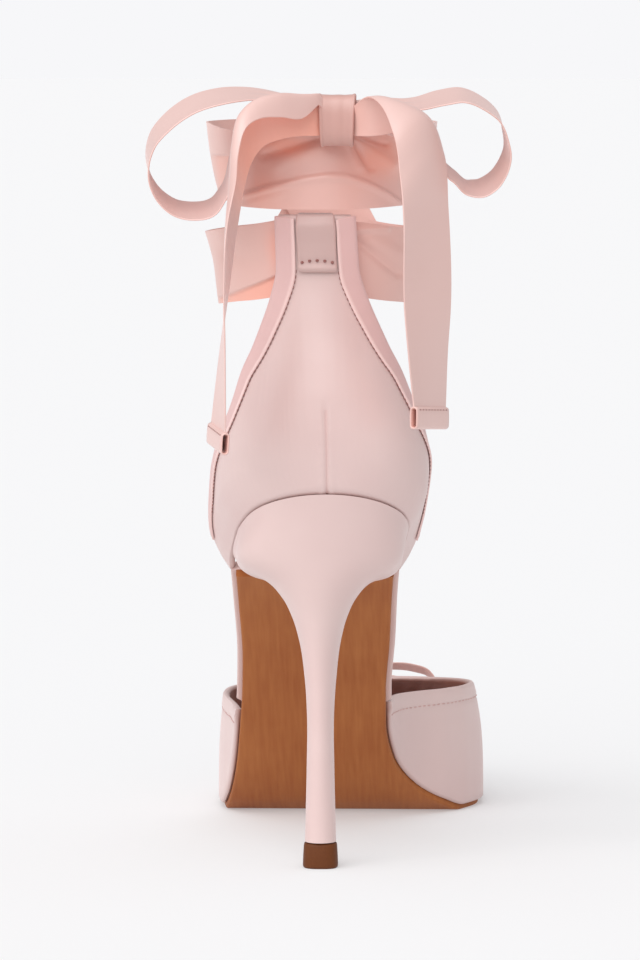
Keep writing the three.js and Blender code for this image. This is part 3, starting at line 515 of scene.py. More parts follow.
def stitches(line, normal, length, space, thread, proud=0.12):
    """Row of threads along a line. Each is a tube of six sides whose middle is lifted off the surface by
    sin(pi t) and whose ends are sunk in it and narrow."""
    along = run(line)
    count = max(int(along[-1] / (length + space)), 1)
    starts = (np.arange(count) + 0.5) * along[-1] / count - length / 2
    t = np.linspace(0, 1, 7)
    places = starts[:, None] + length * t
    centre = np.stack([np.interp(places, along, line[:, k]) for k in range(3)], -1)
    up = unit(np.stack([np.interp(places, along, normal[:, k]) for k in range(3)], -1))
    tangent = unit(np.gradient(centre, axis=1))
    side = np.cross(tangent, up)
    lift = (proud + thread / 2) * np.sin(np.pi * t) - thread / 4
    radius = thread / 2 * np.array([0.02, 0.75, 1, 1, 1, 0.75, 0.02])
    turn = circle(7)
    ring = np.cos(turn)[:, None] * side[:, :, None] + np.sin(turn)[:, None] * up[:, :, None]
    rings = (centre + up * lift[:, None])[:, :, None] + ring * radius[:, None, None]
    ends = [np.broadcast_to(rings[:, i, :-1].mean(1)[:, None, None], rings[:, :1].shape) for i in (0, -1)]
    points = np.concatenate([ends[0], rings, ends[1]], axis=1)
    return [(points, 0)]


# Finishes
def linear(colour):
    """Linear RGBA of an sRGB hex value such as e9cfcb."""
    levels = [int(colour[i:i + 2], 16) / 255 for i in (0, 2, 4)]
    return [v / 12.92 if v <= 0.04045 else ((v + 0.055) / 1.055) ** 2.4 for v in levels] + [1]


def join(tree, made, inputs):
    """Gives each named input of a node a value, or joins it to a socket."""
    for name, value in inputs.items():
        if isinstance(value, bpy.types.NodeSocket):
            tree.links.new(value, made.inputs[name])
        else:
            made.inputs[name].default_value = value


def node(tree, kind, output, inputs=None, **settings):
    """An output of a new node with the inputs and settings given."""
    made = tree.nodes.new("ShaderNode" + kind)
    for name, value in settings.items():
        setattr(made, name, value)
    join(tree, made, inputs or {})
    return made.outputs[output]


def noise(tree, place, scale, detail):
    """Noise over the coordinates; a scale for each axis draws it out."""
    if isinstance(scale, tuple):
        place, scale = node(tree, "Mapping", "Vector", {"Vector": place, "Scale": scale}), 1
    return node(tree, "TexNoise", "Fac", {"Vector": place, "Scale": scale, "Detail": detail})


def blend(tree, factor, first, second):
    """Colour between two."""
    return node(tree, "Mix", 2, {"Factor": factor, 6: first, 7: second}, data_type="RGBA")


def spread(tree, value, low, high, **limits):
    """A value from 0 to 1, or between other limits, drawn out from low to high."""
    return node(tree, "MapRange", "Result", {"Value": value, "To Min": low, "To Max": high, **limits})


def relief(tree, height, depth, strength, **under):
    """Normal of a surface raised by a pattern as high as depth, in millimetres."""
    inputs = {"Height": height, "Distance": depth / 1000, "Strength": strength, **under}
    return node(tree, "Bump", "Normal", inputs)


def finish(name, look, *values):
    """A new material whose surface shader has the inputs that look works out in its node tree."""
    made = bpy.data.materials.new(name)
    made.use_nodes = True
    tree = made.node_tree
    join(tree, tree.nodes["Principled BSDF"], look(tree, *values))
    return made


def per_mm(size):
    """Scale of a pattern that repeats every size millimetres, for coordinates in metres."""
    return 1000 / size


def woven(tree, light, deep, inner, roughness, sheen, thread, rib, depth):
    """A woven ribbon or cloth. light and deep are its tones over a few centimetres, inner a painted tone
    taken in as far as each point's mark of painted light: on the ribbons a painted glow of light bounced from
    the cloth opposite, on the upper painted shade of its inside. thread and rib are the spacings of the yarns
    along and across in millimetres, depth the height of the weave."""
    cloth = node(tree, "UVMap", "UV", uv_map="cloth")
    broad = noise(tree, node(tree, "TexCoord", "Object"), per_mm(28), 2)
    tone = blend(tree, broad, linear(light), linear(deep))
    # Mark of painted light, which mixes in the painted tone inner
    inside = node(tree, "Attribute", "Fac", attribute_name="painted_light")
    yarn = noise(tree, cloth, (per_mm(14), per_mm(thread), 1), 3)
    weft = node(tree, "TexWave", "Fac", {"Vector": cloth, "Scale": per_mm(rib) / 20, "Distortion": 0.4},
                wave_type="BANDS", bands_direction="X")
    return {
        "Base Color": blend(tree, inside, tone, linear(inner)),
        "Roughness": spread(tree, yarn, roughness - 0.05, roughness + 0.05),
        "Normal": relief(tree, weft, depth, 0.6, Normal=relief(tree, yarn, depth, 0.5)),
        "Specular IOR Level": 0.9,
        "Sheen Weight": sheen,
        "Sheen Roughness": 0.35,
        "Sheen Tint": linear("fff0ee"),
    }


def sole_leather(tree):
    """Vegetable-tanned sole leather, sanded and waxed: an even tan with fine pores and faint long streaks."""
    place = node(tree, "TexCoord", "Object")
    cloud = noise(tree, place, per_mm(22), 4)
    streak = noise(tree, place, (per_mm(1.2), per_mm(18), per_mm(18)), 2)
    pores = noise(tree, place, per_mm(0.7), 3)
    both = node(tree, "Math", "Value", {0: cloud, 1: streak}, operation="ADD")
    level = spread(tree, both, 0, 1, **{"From Min": 0.6, "From Max": 1.4})
    return {
        "Base Color": blend(tree, level, linear("9a5529"), linear("ae6a38")),
        "Roughness": spread(tree, pores, 0.5, 0.65),
        "Normal": relief(tree, pores, 0.03, 0.5),
        "Specular IOR Level": 0.25,
    }


def moulded_rubber(tree):
    """Moulded brown heel-tip rubber: dark and half matt, with a fine cast skin."""
    skin = noise(tree, node(tree, "TexCoord", "Object"), per_mm(0.6), 2)
    return {
        "Base Color": blend(tree, skin, linear("5e3012"), linear("6e3c1a")),
        "Roughness": spread(tree, skin, 0.45, 0.62),
        "Normal": relief(tree, skin, 0.03, 0.4),
        "Specular IOR Level": 0.25,
    }


def sewing_thread(tree, colour):
    """Twisted polyester thread: a soft round gloss, and turns of its two plies, with painted shade in their
    grooves.
    """
    twist = node(tree, "TexWave", "Fac", {"Vector": node(tree, "UVMap", "UV", uv_map="cloth"),
                                          "Scale": per_mm(0.5) / 20}, bands_direction="DIAGONAL")
    return {
        "Base Color": blend(tree, twist, linear(colour), linear("7a4a44")),
        "Roughness": 0.5,
        "Normal": relief(tree, twist, 0.05, 0.5),
    }


def pale_paper(tree):
    """Matt backdrop paper, lit through a little, so that it meets the surround's tone."""
    return {
        "Base Color": linear("c9c9c9"),
        "Roughness": 0.95,
        "Specular IOR Level": 0,
        "Emission Color": linear("f7f7f9"),
        "Emission Strength": FLOOR_GLOW,
    }


# Duchess satin over the upper and heel: filament yarns floated on the face, so a soft broad shine with
# faint lines along the cloth. The yarns are 0.1 mm apart and are drawn at 0.35 mm so that they show.
# Its inner tone 8e5a4b is painted shade, for the inside faces of the vamp, the counter and the keeper
satin = finish("duchess_satin", woven, "e1c8c3", "d8b9b5", "8e5a4b", 0.43, 0.4, 0.35, 0.5, 0.02)
# Double-faced satin ribbon: thinner and more supple. Its inner tone f9b39f is a painted salmon glow, for
# light bounced between the ribbon's layers where it faces itself in shade
ribbon_satin = finish("satin_ribbon", woven, "e6c3bc", "deb8b0", "f9b39f", 0.4, 0.35, 0.3, 0.45, 0.015)
# The same ribbon round the knot, in a darker copy that is painted shade, because the knot lies in shade
knot_painted_shade_satin = finish("knot_ribbon_painted_shade", woven, "cfa399", "c5958b", "c98676", 0.42, 0.35, 0.3, 0.45, 0.015)
# Grosgrain: a ribbed plain weave with ribs 0.8 mm apart across the ribbon, matt and a little darker
# Its paler inner tone f0cfca is a painted highlight, laid on the folded lip of the bindings
grosgrain = finish("grosgrain", woven, "e3bebb", "dab2ae", "f0cfca", 0.62, 0.3, 0.4, 0.8, 0.09)
# Satin lining: the same cloth on the inside and the insole, less shiny after glueing
lining = finish("satin_lining", woven, "dcbeb8", "d5b2ab", "d5b2ab", 0.5, 0.25, 0.35, 0.5, 0.02)
leather = finish("waxed_sole_leather", sole_leather)
rubber = finish("moulded_tip_rubber", moulded_rubber)
# Real stitches, their dark thread colour painted shade for the shadow in their needle holes
shaded_stitch_thread = finish("rose_thread_painted_shade", sewing_thread, "9c6a64")
pale_thread = finish("pink_thread", sewing_thread, "d9b0aa")


# The last: sole line, outline and feather
def reach(share):
    """Distance along the shoe of a share of the heel's or the toe's reach."""
    return np.where(share < 0, share * HEEL_REACH, share * TOE_REACH)


SOLE_AT = reach(SOLE_ROWS[:, 0])
sole_height, outer_edge, inner_edge = curves(np.column_stack([
    SOLE_AT, SOLE_ROWS[:, 1] * SEAT_HEIGHT, SOLE_ROWS[:, 2:] * BALL_WIDTH,
]))
ridge = smooth(reach(RIDGE_ROWS[:, 0]), RIDGE_ROWS[:, 1] * INSTEP_HEIGHT)
INSOLE_LEVEL = OUTSOLE + GAP
PROBE = 0.05


def profile(y, above):
    """Point of the side profile, a distance above the sole's underside and square to it."""
    slope = (sole_height(y + PROBE) - sole_height(y - PROBE)) / (2 * PROBE)
    length = np.hypot(1, slope)
    return y - above * slope / length, sole_height(y) + above / length


def round_end(distance, radius):
    """Quarter round: 0 at the end, 1 from the radius on, sqrt(1 - (1 - d / r)²) between."""
    inside = np.clip(distance / radius, 0, 1)
    return np.sqrt(1 - (1 - inside) ** 2)


def outline(y, outward):
    """Middle and half width of the outline, moved outwards by a distance."""
    middle = (inner_edge(y) - outer_edge(y)) / 2
    half = (inner_edge(y) + outer_edge(y)) / 2 + outward
    rear = round_end(HEEL_REACH + y + outward, HEEL_ROUND + outward)
    front = round_end(TOE_REACH - y + outward, TOE_ROUND + outward)
    return middle, half * rear * front


def plate_section(low, high, low_round, high_round, columns):
    """Closed section of a plate with rounded edges: share of the half width, inset from the edge, level."""
    turn = np.linspace(0, np.pi / 2, 6)
    flat, side = np.linspace(-1, 1, columns), np.ones(2 * len(turn))
    share = np.concatenate([flat, side, flat[::-1], -side, flat[:1]])
    inset = np.concatenate([low_round * (1 - np.sin(turn)), high_round * (1 - np.cos(turn))])
    level = np.concatenate([low + low_round * (1 - np.cos(turn)), high - high_round * (1 - np.sin(turn))])

    def closed(below, edge, above):
        return np.concatenate([np.full(columns, below), edge, np.full(columns, above), edge[::-1], [below]])

    return share, closed(low_round, inset, high_round), closed(low, level, high)


def plate(y, outward, section):
    """Plate along the sole line: its section carried from station to station, its edge moved outwards."""
    share, inset, level = section
    middle, half = outline(y, outward)
    x = middle[:, None] + share * np.maximum(half[:, None] - inset, 0)
    return np.stack([x, *profile(y[:, None], level)], -1)


def towards_toe(count, start=0.0, end=1.0):
    """Stations that stand closer together towards the toe: 1 - (1 - t)^1.5."""
    return mix(start, end, 1 - (1 - np.linspace(0, 1, count)) ** 1.5)


# Outsole and insole. Both reach into the gap between them so that it doesn't show, the outsole by SOLE_RISE
# and the insole by INSOLE_DROP.
SOLE_RISE = 0.2
INSOLE_DROP = 0.15
SOLE_EDGE_ROUND = 0.8
SOCK_EDGE_ROUND = 1.3
SOLE_TOP = OUTSOLE + SOLE_RISE
sole_y = towards_toe(170, BREAST + GAP, TOE_REACH)
sole_points = plate(sole_y, 0, plate_section(0, SOLE_TOP, SOLE_EDGE_ROUND, SOLE_RISE, 24))
piece("outsole_leather", solid(sole_points), leather, ["outsole"])

INSIDE_WALLS = FEATHER - UPPER_WALL - INSOLE_EASE
TOE_RELIEF = 3
EDGE_STEP = 1.2


def vamp_point(y, angle, inset):
    """Vamp's face: superellipse sections over the feather. x = middle + half cos(a)^(2/n) and the height
    is that of the ridge times sin(a)^(2/n), rounded off towards the toe."""
    outward = FEATHER - inset
    middle, half = outline(y, outward)
    along, foot = profile(y, INSOLE_LEVEL)
    box = round_end(TOE_REACH - y + outward, TOE_BOX_ROUND + outward)
    rise = np.maximum(np.sin(angle), 0) ** (2 / BOXINESS)
    height = foot + (ridge(along) - inset - foot) * box * rise
    return together(middle + half * power(np.cos(angle), 2 / BOXINESS), along, height)


def vamp_topline(angle):
    """Station where the vamp's face falls to the height of its topline."""
    height = mix(VAMP_TOP_INNER, VAMP_TOP_OUTER, (1 - np.cos(angle)) / 2)
    start = np.full_like(angle, SOLE_AT[4])
    return where_falls(lambda y: vamp_point(y, angle, 0)[..., 2], height, start, float(TOE_REACH))


def counter_feather(turn):
    """Station of the feather at a turn round the heel: back + depth (1 - cos turn)."""
    return COUNTER_BACK + COUNTER_DEPTH * (1 - np.cos(turn))


COUNTER_BACK = -HEEL_REACH - FEATHER
open_from = float(counter_feather(np.pi / 2)) + 2 * GAP
open_to = float(vamp_topline(np.array([0, np.pi])).min()) - 2 * GAP
insole_y = np.concatenate([
    mix(-HEEL_REACH - INSIDE_WALLS, open_from - EDGE_STEP, np.linspace(0, 1, 50) ** 1.6),
    np.linspace(open_from, open_to, 70),
    towards_toe(100, open_to + EDGE_STEP, TOE_REACH - TOE_RELIEF),
])
in_waist = ease(insole_y, open_from - EDGE_STEP, open_from)
in_waist = in_waist * (1 - ease(insole_y, open_to, open_to + EDGE_STEP))
sock_section = plate_section(
    INSOLE_LEVEL - INSOLE_DROP, INSOLE_LEVEL + INSOLE, SOLE_EDGE_ROUND, SOCK_EDGE_ROUND, 40,
)
insole_points = plate(insole_y, mix(INSIDE_WALLS, FEATHER, in_waist), sock_section)
piece("insole_sock", solid(insole_points), lining, ["insole"])


# Vamp: width of the turned-in topline, height of its two layers and of the lining's pleats
EDGE_FOLD = 4.6
EDGE_LAYERS = 0.3
THROAT_PLEATS = 0.45
STITCH_LINE = EDGE_FOLD + 0.3


def edge_relief(distance):
    """Height of the turned-in topline: two layers of cloth as far as the stitch line, which is drawn in."""
    layers = 1 - ease(distance, EDGE_FOLD - 0.5, EDGE_FOLD + 0.6)
    return EDGE_LAYERS * layers - EDGE_LAYERS * bump(distance, STITCH_LINE, 0.5)


vamp_turns = np.linspace(0, 1, 140)
vamp_angles = np.pi * (vamp_turns - 0.8 * np.sin(2 * np.pi * vamp_turns) / (2 * np.pi))
vamp_start = vamp_topline(vamp_angles)


def vamp_grid(inset):
    """Vamp's face at an inset, from its topline to the toe."""
    y = mix(vamp_start[:, None], TOE_REACH + FEATHER - inset, towards_toe(110))
    return vamp_point(y, vamp_angles[:, None], inset)


vamp_face = vamp_grid(0)
vamp_normal = facing(vamp_face)
vamp_normal *= np.sign(vamp_normal[70, 50, 2])
vamp_distance = nearest(vamp_face, vamp_point(vamp_start, vamp_angles, 0))
vamp_relief = vamp_normal * edge_relief(vamp_distance)[..., None]
vamp_face = vamp_face + vamp_relief * ease(vamp_distance, 0, 0.6)[..., None]
in_throat = ease(vamp_angles, 0.7, 1.1) * (1 - ease(vamp_angles, 2.0, 2.4))
pleats = THROAT_PLEATS * (np.sin(vamp_angles * 46) * in_throat)[:, None] * bump(vamp_distance, 7, 5)
vamp_back = vamp_grid(UPPER_WALL) - vamp_normal * pleats[..., None]
# The vamp's inside face takes the satin's painted shade in full
piece("vamp_satin", shell(vamp_face, vamp_back), satin, ["vamp"])

line, line_normal = where_reaches(vamp_distance, STITCH_LINE, vamp_face, vamp_normal)
piece("vamp_stitching", stitches(line, line_normal, 1.5, 0.6, 0.3), pale_thread)


# Counter: the heel part of the last, by the turn round the heel and the height over the feather
tab_height = TAB_TOP - float(profile(np.array(COUNTER_BACK), INSOLE_LEVEL)[1])
swell, lean, sway = curves(COUNTER_ROWS)
top_turn, top_level = curves(COUNTER_TOP_ROWS)


def counter_point(turn, height):
    """Counter's face: the feather outline raised, widened by the swell, and leaned ahead and sideways."""
    y = counter_feather(turn)
    middle, half = outline(y, FEATHER)
    along, foot = profile(y, INSOLE_LEVEL)
    up = height / tab_height
    x = middle + np.sign(turn) * half * (1 + swell(up)) - TAB_SWAY * sway(up)
    return together(x, along + COUNTER_LEAN * lean(up) * np.cos(turn), foot + height)


def counter_frame(turn, height):
    """Slopes of the counter's face along the turn and the height, and its unit normal."""
    step = 0.002
    along_turn = (counter_point(turn + step, height) - counter_point(turn - step, height)) / (2 * step)
    along_height = (counter_point(turn, height + PROBE) - counter_point(turn, height - PROBE)) / (2 * PROBE)
    return along_turn, along_height, unit(np.cross(along_turn, along_height))


def off_counter(turn, height, out):
    """Point off the counter's face; a negative distance goes inwards."""
    return counter_point(turn, height) + counter_frame(turn, height)[2] * np.asarray(out)[..., None]


def feather_height(turn):
    """Height of the feather over the floor."""
    return profile(counter_feather(turn), INSOLE_LEVEL)[1]


def counter_topline(along):
    """Turn and height over the feather of the topline, by the share of the way to a front end."""
    turn = np.radians(top_turn(np.abs(along))) * np.sign(along)
    return turn, top_level(np.abs(along)) * TAB_TOP - feather_height(turn)


def from_topline(along, distance):
    """Turn and height of points on the counter's face, a distance down from the topline and square to it,
    reached in three equal steps."""
    small = 0.004 * np.sign(along)
    turn, height = counter_topline(along)
    tangent = unit(counter_point(*counter_topline(along + small)) - counter_point(turn, height))
    parts = 3
    for _ in range(parts):
        along_turn, along_height, normal = counter_frame(turn, height)
        into = np.cross(normal, tangent) * (-np.sign(along) * distance / parts)[..., None]
        aa = (along_turn * along_turn).sum(-1)
        ab = (along_turn * along_height).sum(-1)
        bb = (along_height * along_height).sum(-1)
        a, b = (into * along_turn).sum(-1), (into * along_height).sum(-1)
        whole = aa * bb - ab * ab
        turn = turn + (a * bb - b * ab) / whole
        height = height + (b * aa - a * ab) / whole
    return turn, height


TAB_CORNER = COUNTER_TOP_ROWS[1, 0]
half_way = np.concatenate([np.linspace(0, TAB_CORNER, 12)[1:], np.linspace(TAB_CORNER + 0.004, 1, 90)])
counter_along = np.concatenate([-half_way[::-1], [0], half_way])
counter_up = np.linspace(0, 1, 110)


def counter_grid(inset):
    """Counter's face at an inset, from its feather to its topline."""
    turn, height = counter_topline(counter_along)
    foot = np.pi / 2 * counter_along
    return off_counter(mix(foot[:, None], turn[:, None], counter_up), height[:, None] * counter_up, -inset)


# Back seam: where it ends, how its edges are raised and its line sunk, its stitches' pitch and pucker
SEAM_TOP = 142
SEAM_RIDGE = 0.18
SEAM_SUNK = 0.55
SEAM_PITCH = 3.2
SEAM_PUCKER = 0.05
HEM_TUCK = 0.6
at_seam = len(counter_along) // 2
counter_face = counter_grid(0.0)
counter_out = facing(counter_face)
counter_out *= -np.sign(counter_out[at_seam, 50, 1])
seam_x = counter_face[..., 0] - counter_face[at_seam, :, 0]
at_back = counter_face[..., 1] < counter_face[..., 1].min() + 22
seam_fade = at_back * (1 - ease(counter_face[..., 2], SEAM_TOP - 6, SEAM_TOP))
seam = (SEAM_RIDGE * bump(np.abs(seam_x), 1.3, 0.7) - SEAM_SUNK * bump(seam_x, 0, 0.45)) * seam_fade
pucker = SEAM_PUCKER * np.sin(counter_face[..., 2] * 2 * np.pi / SEAM_PITCH)
pucker = pucker * bump(np.abs(seam_x), 1.8, 1.4) * seam_fade
hem_tuck = -HEM_TUCK * (1 - ease(counter_up * 60, 0, 1.4))
counter_face = counter_face + counter_out * (seam + pucker + hem_tuck)[..., None]
# The counter's inside face takes the satin's painted shade in full
piece("counter_satin", shell(counter_face, counter_grid(UPPER_WALL)), satin, ["counter"])


# Bindings: a folded ribbon over the topline, a U in section
FACE_EASE = 0.12
BINDING_LIP = 0.22


def binding_leg(along):
    """How far the binding reaches down from the topline."""
    return mix(BINDING_WIDTH, BINDING_END_WIDTH, ease(np.abs(along), 0.7, 1))


def binding_grid(side, clear):
    """The fold at a clearance from the wall: down the outside, round the rim and down the inside. A lip
    stands along its lower edge, where the ribbon is turned under."""
    along = side * np.linspace(TAB_CORNER + 0.005, 0.985, 150)[:, None]
    leg = binding_leg(along)
    t = np.linspace(0, 1, 14)
    turn = np.linspace(0, np.pi, 11)[1:-1]
    radius = UPPER_WALL / 2 + FACE_EASE + clear
    distance = np.concatenate([leg * (1 - t), 0 * leg - radius * np.sin(turn), leg * t], axis=1)
    out = np.concatenate([FACE_EASE + clear + BINDING_LIP * bump(t, 0.06, 0.07),
                          radius * np.cos(turn) - UPPER_WALL / 2, -UPPER_WALL - FACE_EASE - clear + 0 * t])
    return off_counter(*from_topline(along + 0 * distance, distance), out)


for side, side_name in SIDES:
    outer_fold = binding_grid(side, BINDING)
    # Painted highlight: the folded lip takes the grosgrain's pale inner tone, the face against the wall half
    # of it
    lip = np.zeros(outer_fold.shape[1])
    lip[:3] = (1, 1, 0.5)
    grids = shell(outer_fold, binding_grid(side, 0.0), painted_light=(lip, 0.5))
    piece(f"grosgrain_binding_{side_name}", grids, grosgrain, [f"binding_{side_name}"])
    along = side * np.linspace(0.2, 0.9, 120)
    turn, height = from_topline(along, binding_leg(along) + 0.25)
    line = off_counter(turn, height, 0.15 + 0 * along)
    piece(f"binding_stitching_{side_name}", stitches(line, counter_frame(turn, height)[2], 1.1, 0.5, 0.34),
          shaded_stitch_thread)


# Keeper: a strap over the tab's top that holds the ribbon against the tab's inside
def keeper_edge():
    """Turn at which the keeper's half width is reached."""
    middle = counter_point(np.array(0.0), tab_height)[..., 0]

    def across(turn):
        return -np.abs(counter_point(turn, tab_height)[..., 0] - middle)

    return float(where_falls(across, -KEEPER_WIDTH / 2, np.array(0.0), np.array(math.radians(40))))


def keeper_grid(thick):
    """Strap's path over the tab, as heights and distances off the counter's face: up the outside with a
    rolled foot, over the top with a round bend, down inside and back to the wall."""
    foot, top = TAB_TOP - KEEPER_DROP, TAB_TOP + GAP + thick
    hem = RIBBON_LOW - RIBBON_WIDTH / 2 - GAP
    face, inside = KEEPER_EASE + thick, -KEEPER_INSET - thick
    corners = np.array([
        (foot, face), (foot + 0.9, KEEPER_EASE + thick * 1.6), (foot + 1.9, face),
        (TAB_TOP - KEEPER_DROP * 0.7, face), (TAB_TOP - KEEPER_DROP / 2, face), (TAB_TOP - 1.5, face),
        (top - 0.3, KEEPER_EASE - 0.5), (top, -1.5), (top, -KEEPER_INSET + 1.5),
        (top - 0.5, -KEEPER_INSET - 0.6 * thick), (TAB_TOP - 2, inside), ((TAB_TOP + hem) / 2, inside),
        (hem + 1, inside), (hem - thick, -KEEPER_INSET + 0.5), (hem - thick, -UPPER_WALL - KEEPER_EASE),
    ])
    level, out = through(corners, 90).T[..., None]
    turn = np.linspace(-keeper_width, keeper_width, 24)
    return off_counter(turn + 0 * level, level - feather_height(turn), out + 0 * turn)


keeper_width = keeper_edge()
keeper_face = keeper_grid(KEEPER)
# Painted shade: the strap's face takes 0.28 of the satin's dark inner tone, its inside face all of it
keeper_walls = shell(keeper_face, keeper_grid(0.0), painted_light=(0.28, 1))
piece("keeper_strap", keeper_walls, satin, ["ribbon_keeper"])
row = np.argmin(np.abs(keeper_face[:40, 12, 2] - KEEPER_STITCH))
whip = keeper_face[row] - np.array([0, 0, 0.9]) * np.linspace(-1, 1, 24)[:, None] ** 2
whip_stitches = stitches(whip, -facing(keeper_face)[row], 1.15, 0.92, 0.8, 0.1)
piece("keeper_stitching", whip_stitches, shaded_stitch_thread)


# Heel: sections from the top piece to the seat, squared in front by the powers given
BREAST_SQUARE = 2 / 3
SEAT_SQUARE = 0.4
breast_height = float(sole_height(BREAST))
heel_turn = circle(97)
SIDE, AHEAD = np.cos(heel_turn), np.sin(heel_turn)


def heel_sections():
    """Sections of the heel: half ellipses behind, squarer halves in front, then the seat's own outline."""
    up, width, rear, front, tilt = (column[:, None] for column in HEEL_ROWS.T)
    centre = mix(0, outline(np.array(BREAST), 0)[0] / 2, np.maximum(up - 0.7, 0))
    height = mix(TOP_PIECE_HEIGHT + GAP, breast_height, up)
    squareness = np.where(AHEAD > 0, BREAST_SQUARE, 1)
    along = STEM_DEPTH * np.where(AHEAD > 0, front, rear) * power(AHEAD, squareness)
    x = centre + STEM_WIDTH / 2 * width * power(SIDE, squareness)
    stem = np.stack([x, HEEL_TIP_CENTRE + along, height - tilt * along], -1)
    seat_depth = power(AHEAD, np.where(AHEAD > 0, SEAT_SQUARE, 1))
    y = (COUNTER_BACK + BREAST) / 2 + (BREAST - COUNTER_BACK) / 2 * seat_depth
    limit = np.where(AHEAD > 0, power(SIDE, SEAT_SQUARE), np.sign(np.round(SIDE, 9)))
    middle, half = outline(y, FEATHER)
    seat = np.stack([middle + half * limit, *profile(y, SOLE_TOP)], -1)
    return np.concatenate([stem, seat[None]])


heel_length = np.concatenate([HEEL_ROWS[:, 0], [1.2]])
heel_points = through(heel_sections(), 150, heel_length)
piece("heel_cover", solid(heel_points), satin, ["heel"])

tip_turn = circle(65)
tip_height, tip_grow = TIP_ROWS.T[..., None]
tip_points = together(
    (HEEL_TIP_WIDTH / 2 + tip_grow) * power(np.cos(tip_turn), 0.75),
    HEEL_TIP_CENTRE + (HEEL_TIP_DEPTH / 2 + tip_grow) * power(np.sin(tip_turn), 0.75),
    tip_height,
)
piece("heel_tip", solid(tip_points), rubber, ["top_piece"])


# Ribbon
def strip(line, across, width, thickness, folds, columns, around=False):
    """Ribbon along a line: points line + v width across, with v from -1/2 to 1/2 and across square to the
    line, moved along the face's normal by the folds, and given its thickness."""
    tangent = unit(np.gradient(line, axis=0))
    if around:
        tangent[:-1] = unit(np.roll(line[:-1], -1, 0) - np.roll(line[:-1], 1, 0))
        tangent[-1] = tangent[0]
    across = unit(across - tangent * (across * tangent).sum(-1, keepdims=True))
    v = np.linspace(-0.5, 0.5, columns)
    middle = line[:, None] + across[:, None] * (v[:, None] * np.asarray(width).reshape(-1, 1, 1))
    normal = np.cross(tangent, across)[:, None] + 0 * middle
    if folds is not None:
        middle = middle + normal * folds(v)[..., None]
    return middle + normal * thickness / 2, middle - normal * thickness / 2


tab_foot = feather_height(np.array(0.0))
ribbon_back = -RIBBON_INSET - FRAME_RIBBON / 2
ankle_back = float(off_counter(np.array(0.0), RIBBON_LOW - tab_foot, ribbon_back)[1])
(climb,) = curves(WRAP_ROWS)


def ankle_line(side, turn):
    """One half of the ankle ribbon's line and its direction across, by degrees from the tab. It starts at
    the tab, crosses in front and ends behind the lower turn."""
    angle = np.radians(turn)
    off = side * -CROSSING_OFFSET * (1 - ease(np.abs(np.cos(angle / 2)), 0, 0.75))
    flare = RIBBON_FLARE * np.sin(angle) ** 4
    behind = np.where(turn > 180, BEHIND_LOWER_TURN * np.maximum(np.cos(angle), 0), 0)
    x = ANKLE_CENTRE + side * (ANKLE_HALF_WIDTH + off) * np.sin(angle)
    y = ankle_back + ANKLE_DEPTH / 2 * (1 - np.cos(angle)) - off * np.cos(angle) - behind
    across = [side * np.sin(angle) * np.sin(flare), -np.cos(angle) * np.sin(flare), np.cos(flare)]
    return np.stack([x, y, mix(RIBBON_LOW, RIBBON_HIGH, climb(turn))], -1), np.stack(across, -1)


turns = np.linspace(0, 360, 321)
halves = (*ankle_line(-1, turns), turns), (*ankle_line(1, turns), turns)
wrap_line, wrap_across, wrap_turn = (
    np.concatenate([outer, inner[::-1][1:]]) for outer, inner in zip(*halves)
)


def creased(rows):
    """Height of soft ridges and troughs: height exp(-(distance to the segment / half width)²)."""
    total = 0
    for x0, z0, x1, z1, height, width in rows:
        x, z = wrap_x - x0, wrap_z - z0
        along = np.clip((x * (x1 - x0) + z * (z1 - z0)) / ((x1 - x0) ** 2 + (z1 - z0) ** 2), 0, 1)
        distance = np.hypot(wrap_x - mix(x0, x1, along), wrap_z - mix(z0, z1, along))
        total = total + height * bump(distance, 0, width)
    return total


def over(rows):
    """Height over a line of x and z."""
    return wrap_z - np.interp(wrap_x, *rows.T)


# Where things are on the ribbon's back: its upper and lower turn, the lap, the tuck and the second layer
wrap_v = np.linspace(-0.5, 0.5, 61)
wrap_x = wrap_line[:, :1] + 0 * wrap_v
wrap_z = wrap_line[:, 2:] + wrap_v * RIBBON_WIDTH
wrap_behind = 1 - ease(wrap_line[:, 1:2], ankle_back + 22, ankle_back + 36)
is_upper = ease(wrap_turn[:, None], 170, 200)
wrap_upper, wrap_lower = is_upper * wrap_behind, (1 - is_upper) * wrap_behind
under_lap = 1 - ease(over(LAP_ROWS), -0.5, 0.7)
at_lap = ease(wrap_x, -26, -20) * (1 - ease(wrap_x, 22, 27)) * wrap_upper
under_tuck = (1 - ease(over(TUCK_ROWS), -0.6, 0.3)) * (1 - ease(wrap_x, -12, -8)) * wrap_lower
second_layer = (1 - ease(wrap_z, 210.8, 211.6)) * (1 - ease(wrap_x, -27, -25)) * wrap_upper


def wrap_folds(v):
    """Soft waves along the ribbon, the listed creases, the lap under the knot and the tucked edge."""
    turn = np.radians(wrap_turn[:, None])
    waves = 0.5 * np.sin(turn * 5 + v * 4) * np.sin(turn) ** 2
    lap = (under_lap + 0.5 * bump(over(LAP_ROWS), -1.1, 1)) * at_lap
    creases = creased(UPPER_CREASES) * wrap_upper + creased(LOWER_CREASES) * wrap_lower
    return waves - creases - LAP_STEP * lap + TUCK_STEP * under_tuck + LAYER_STEP * second_layer


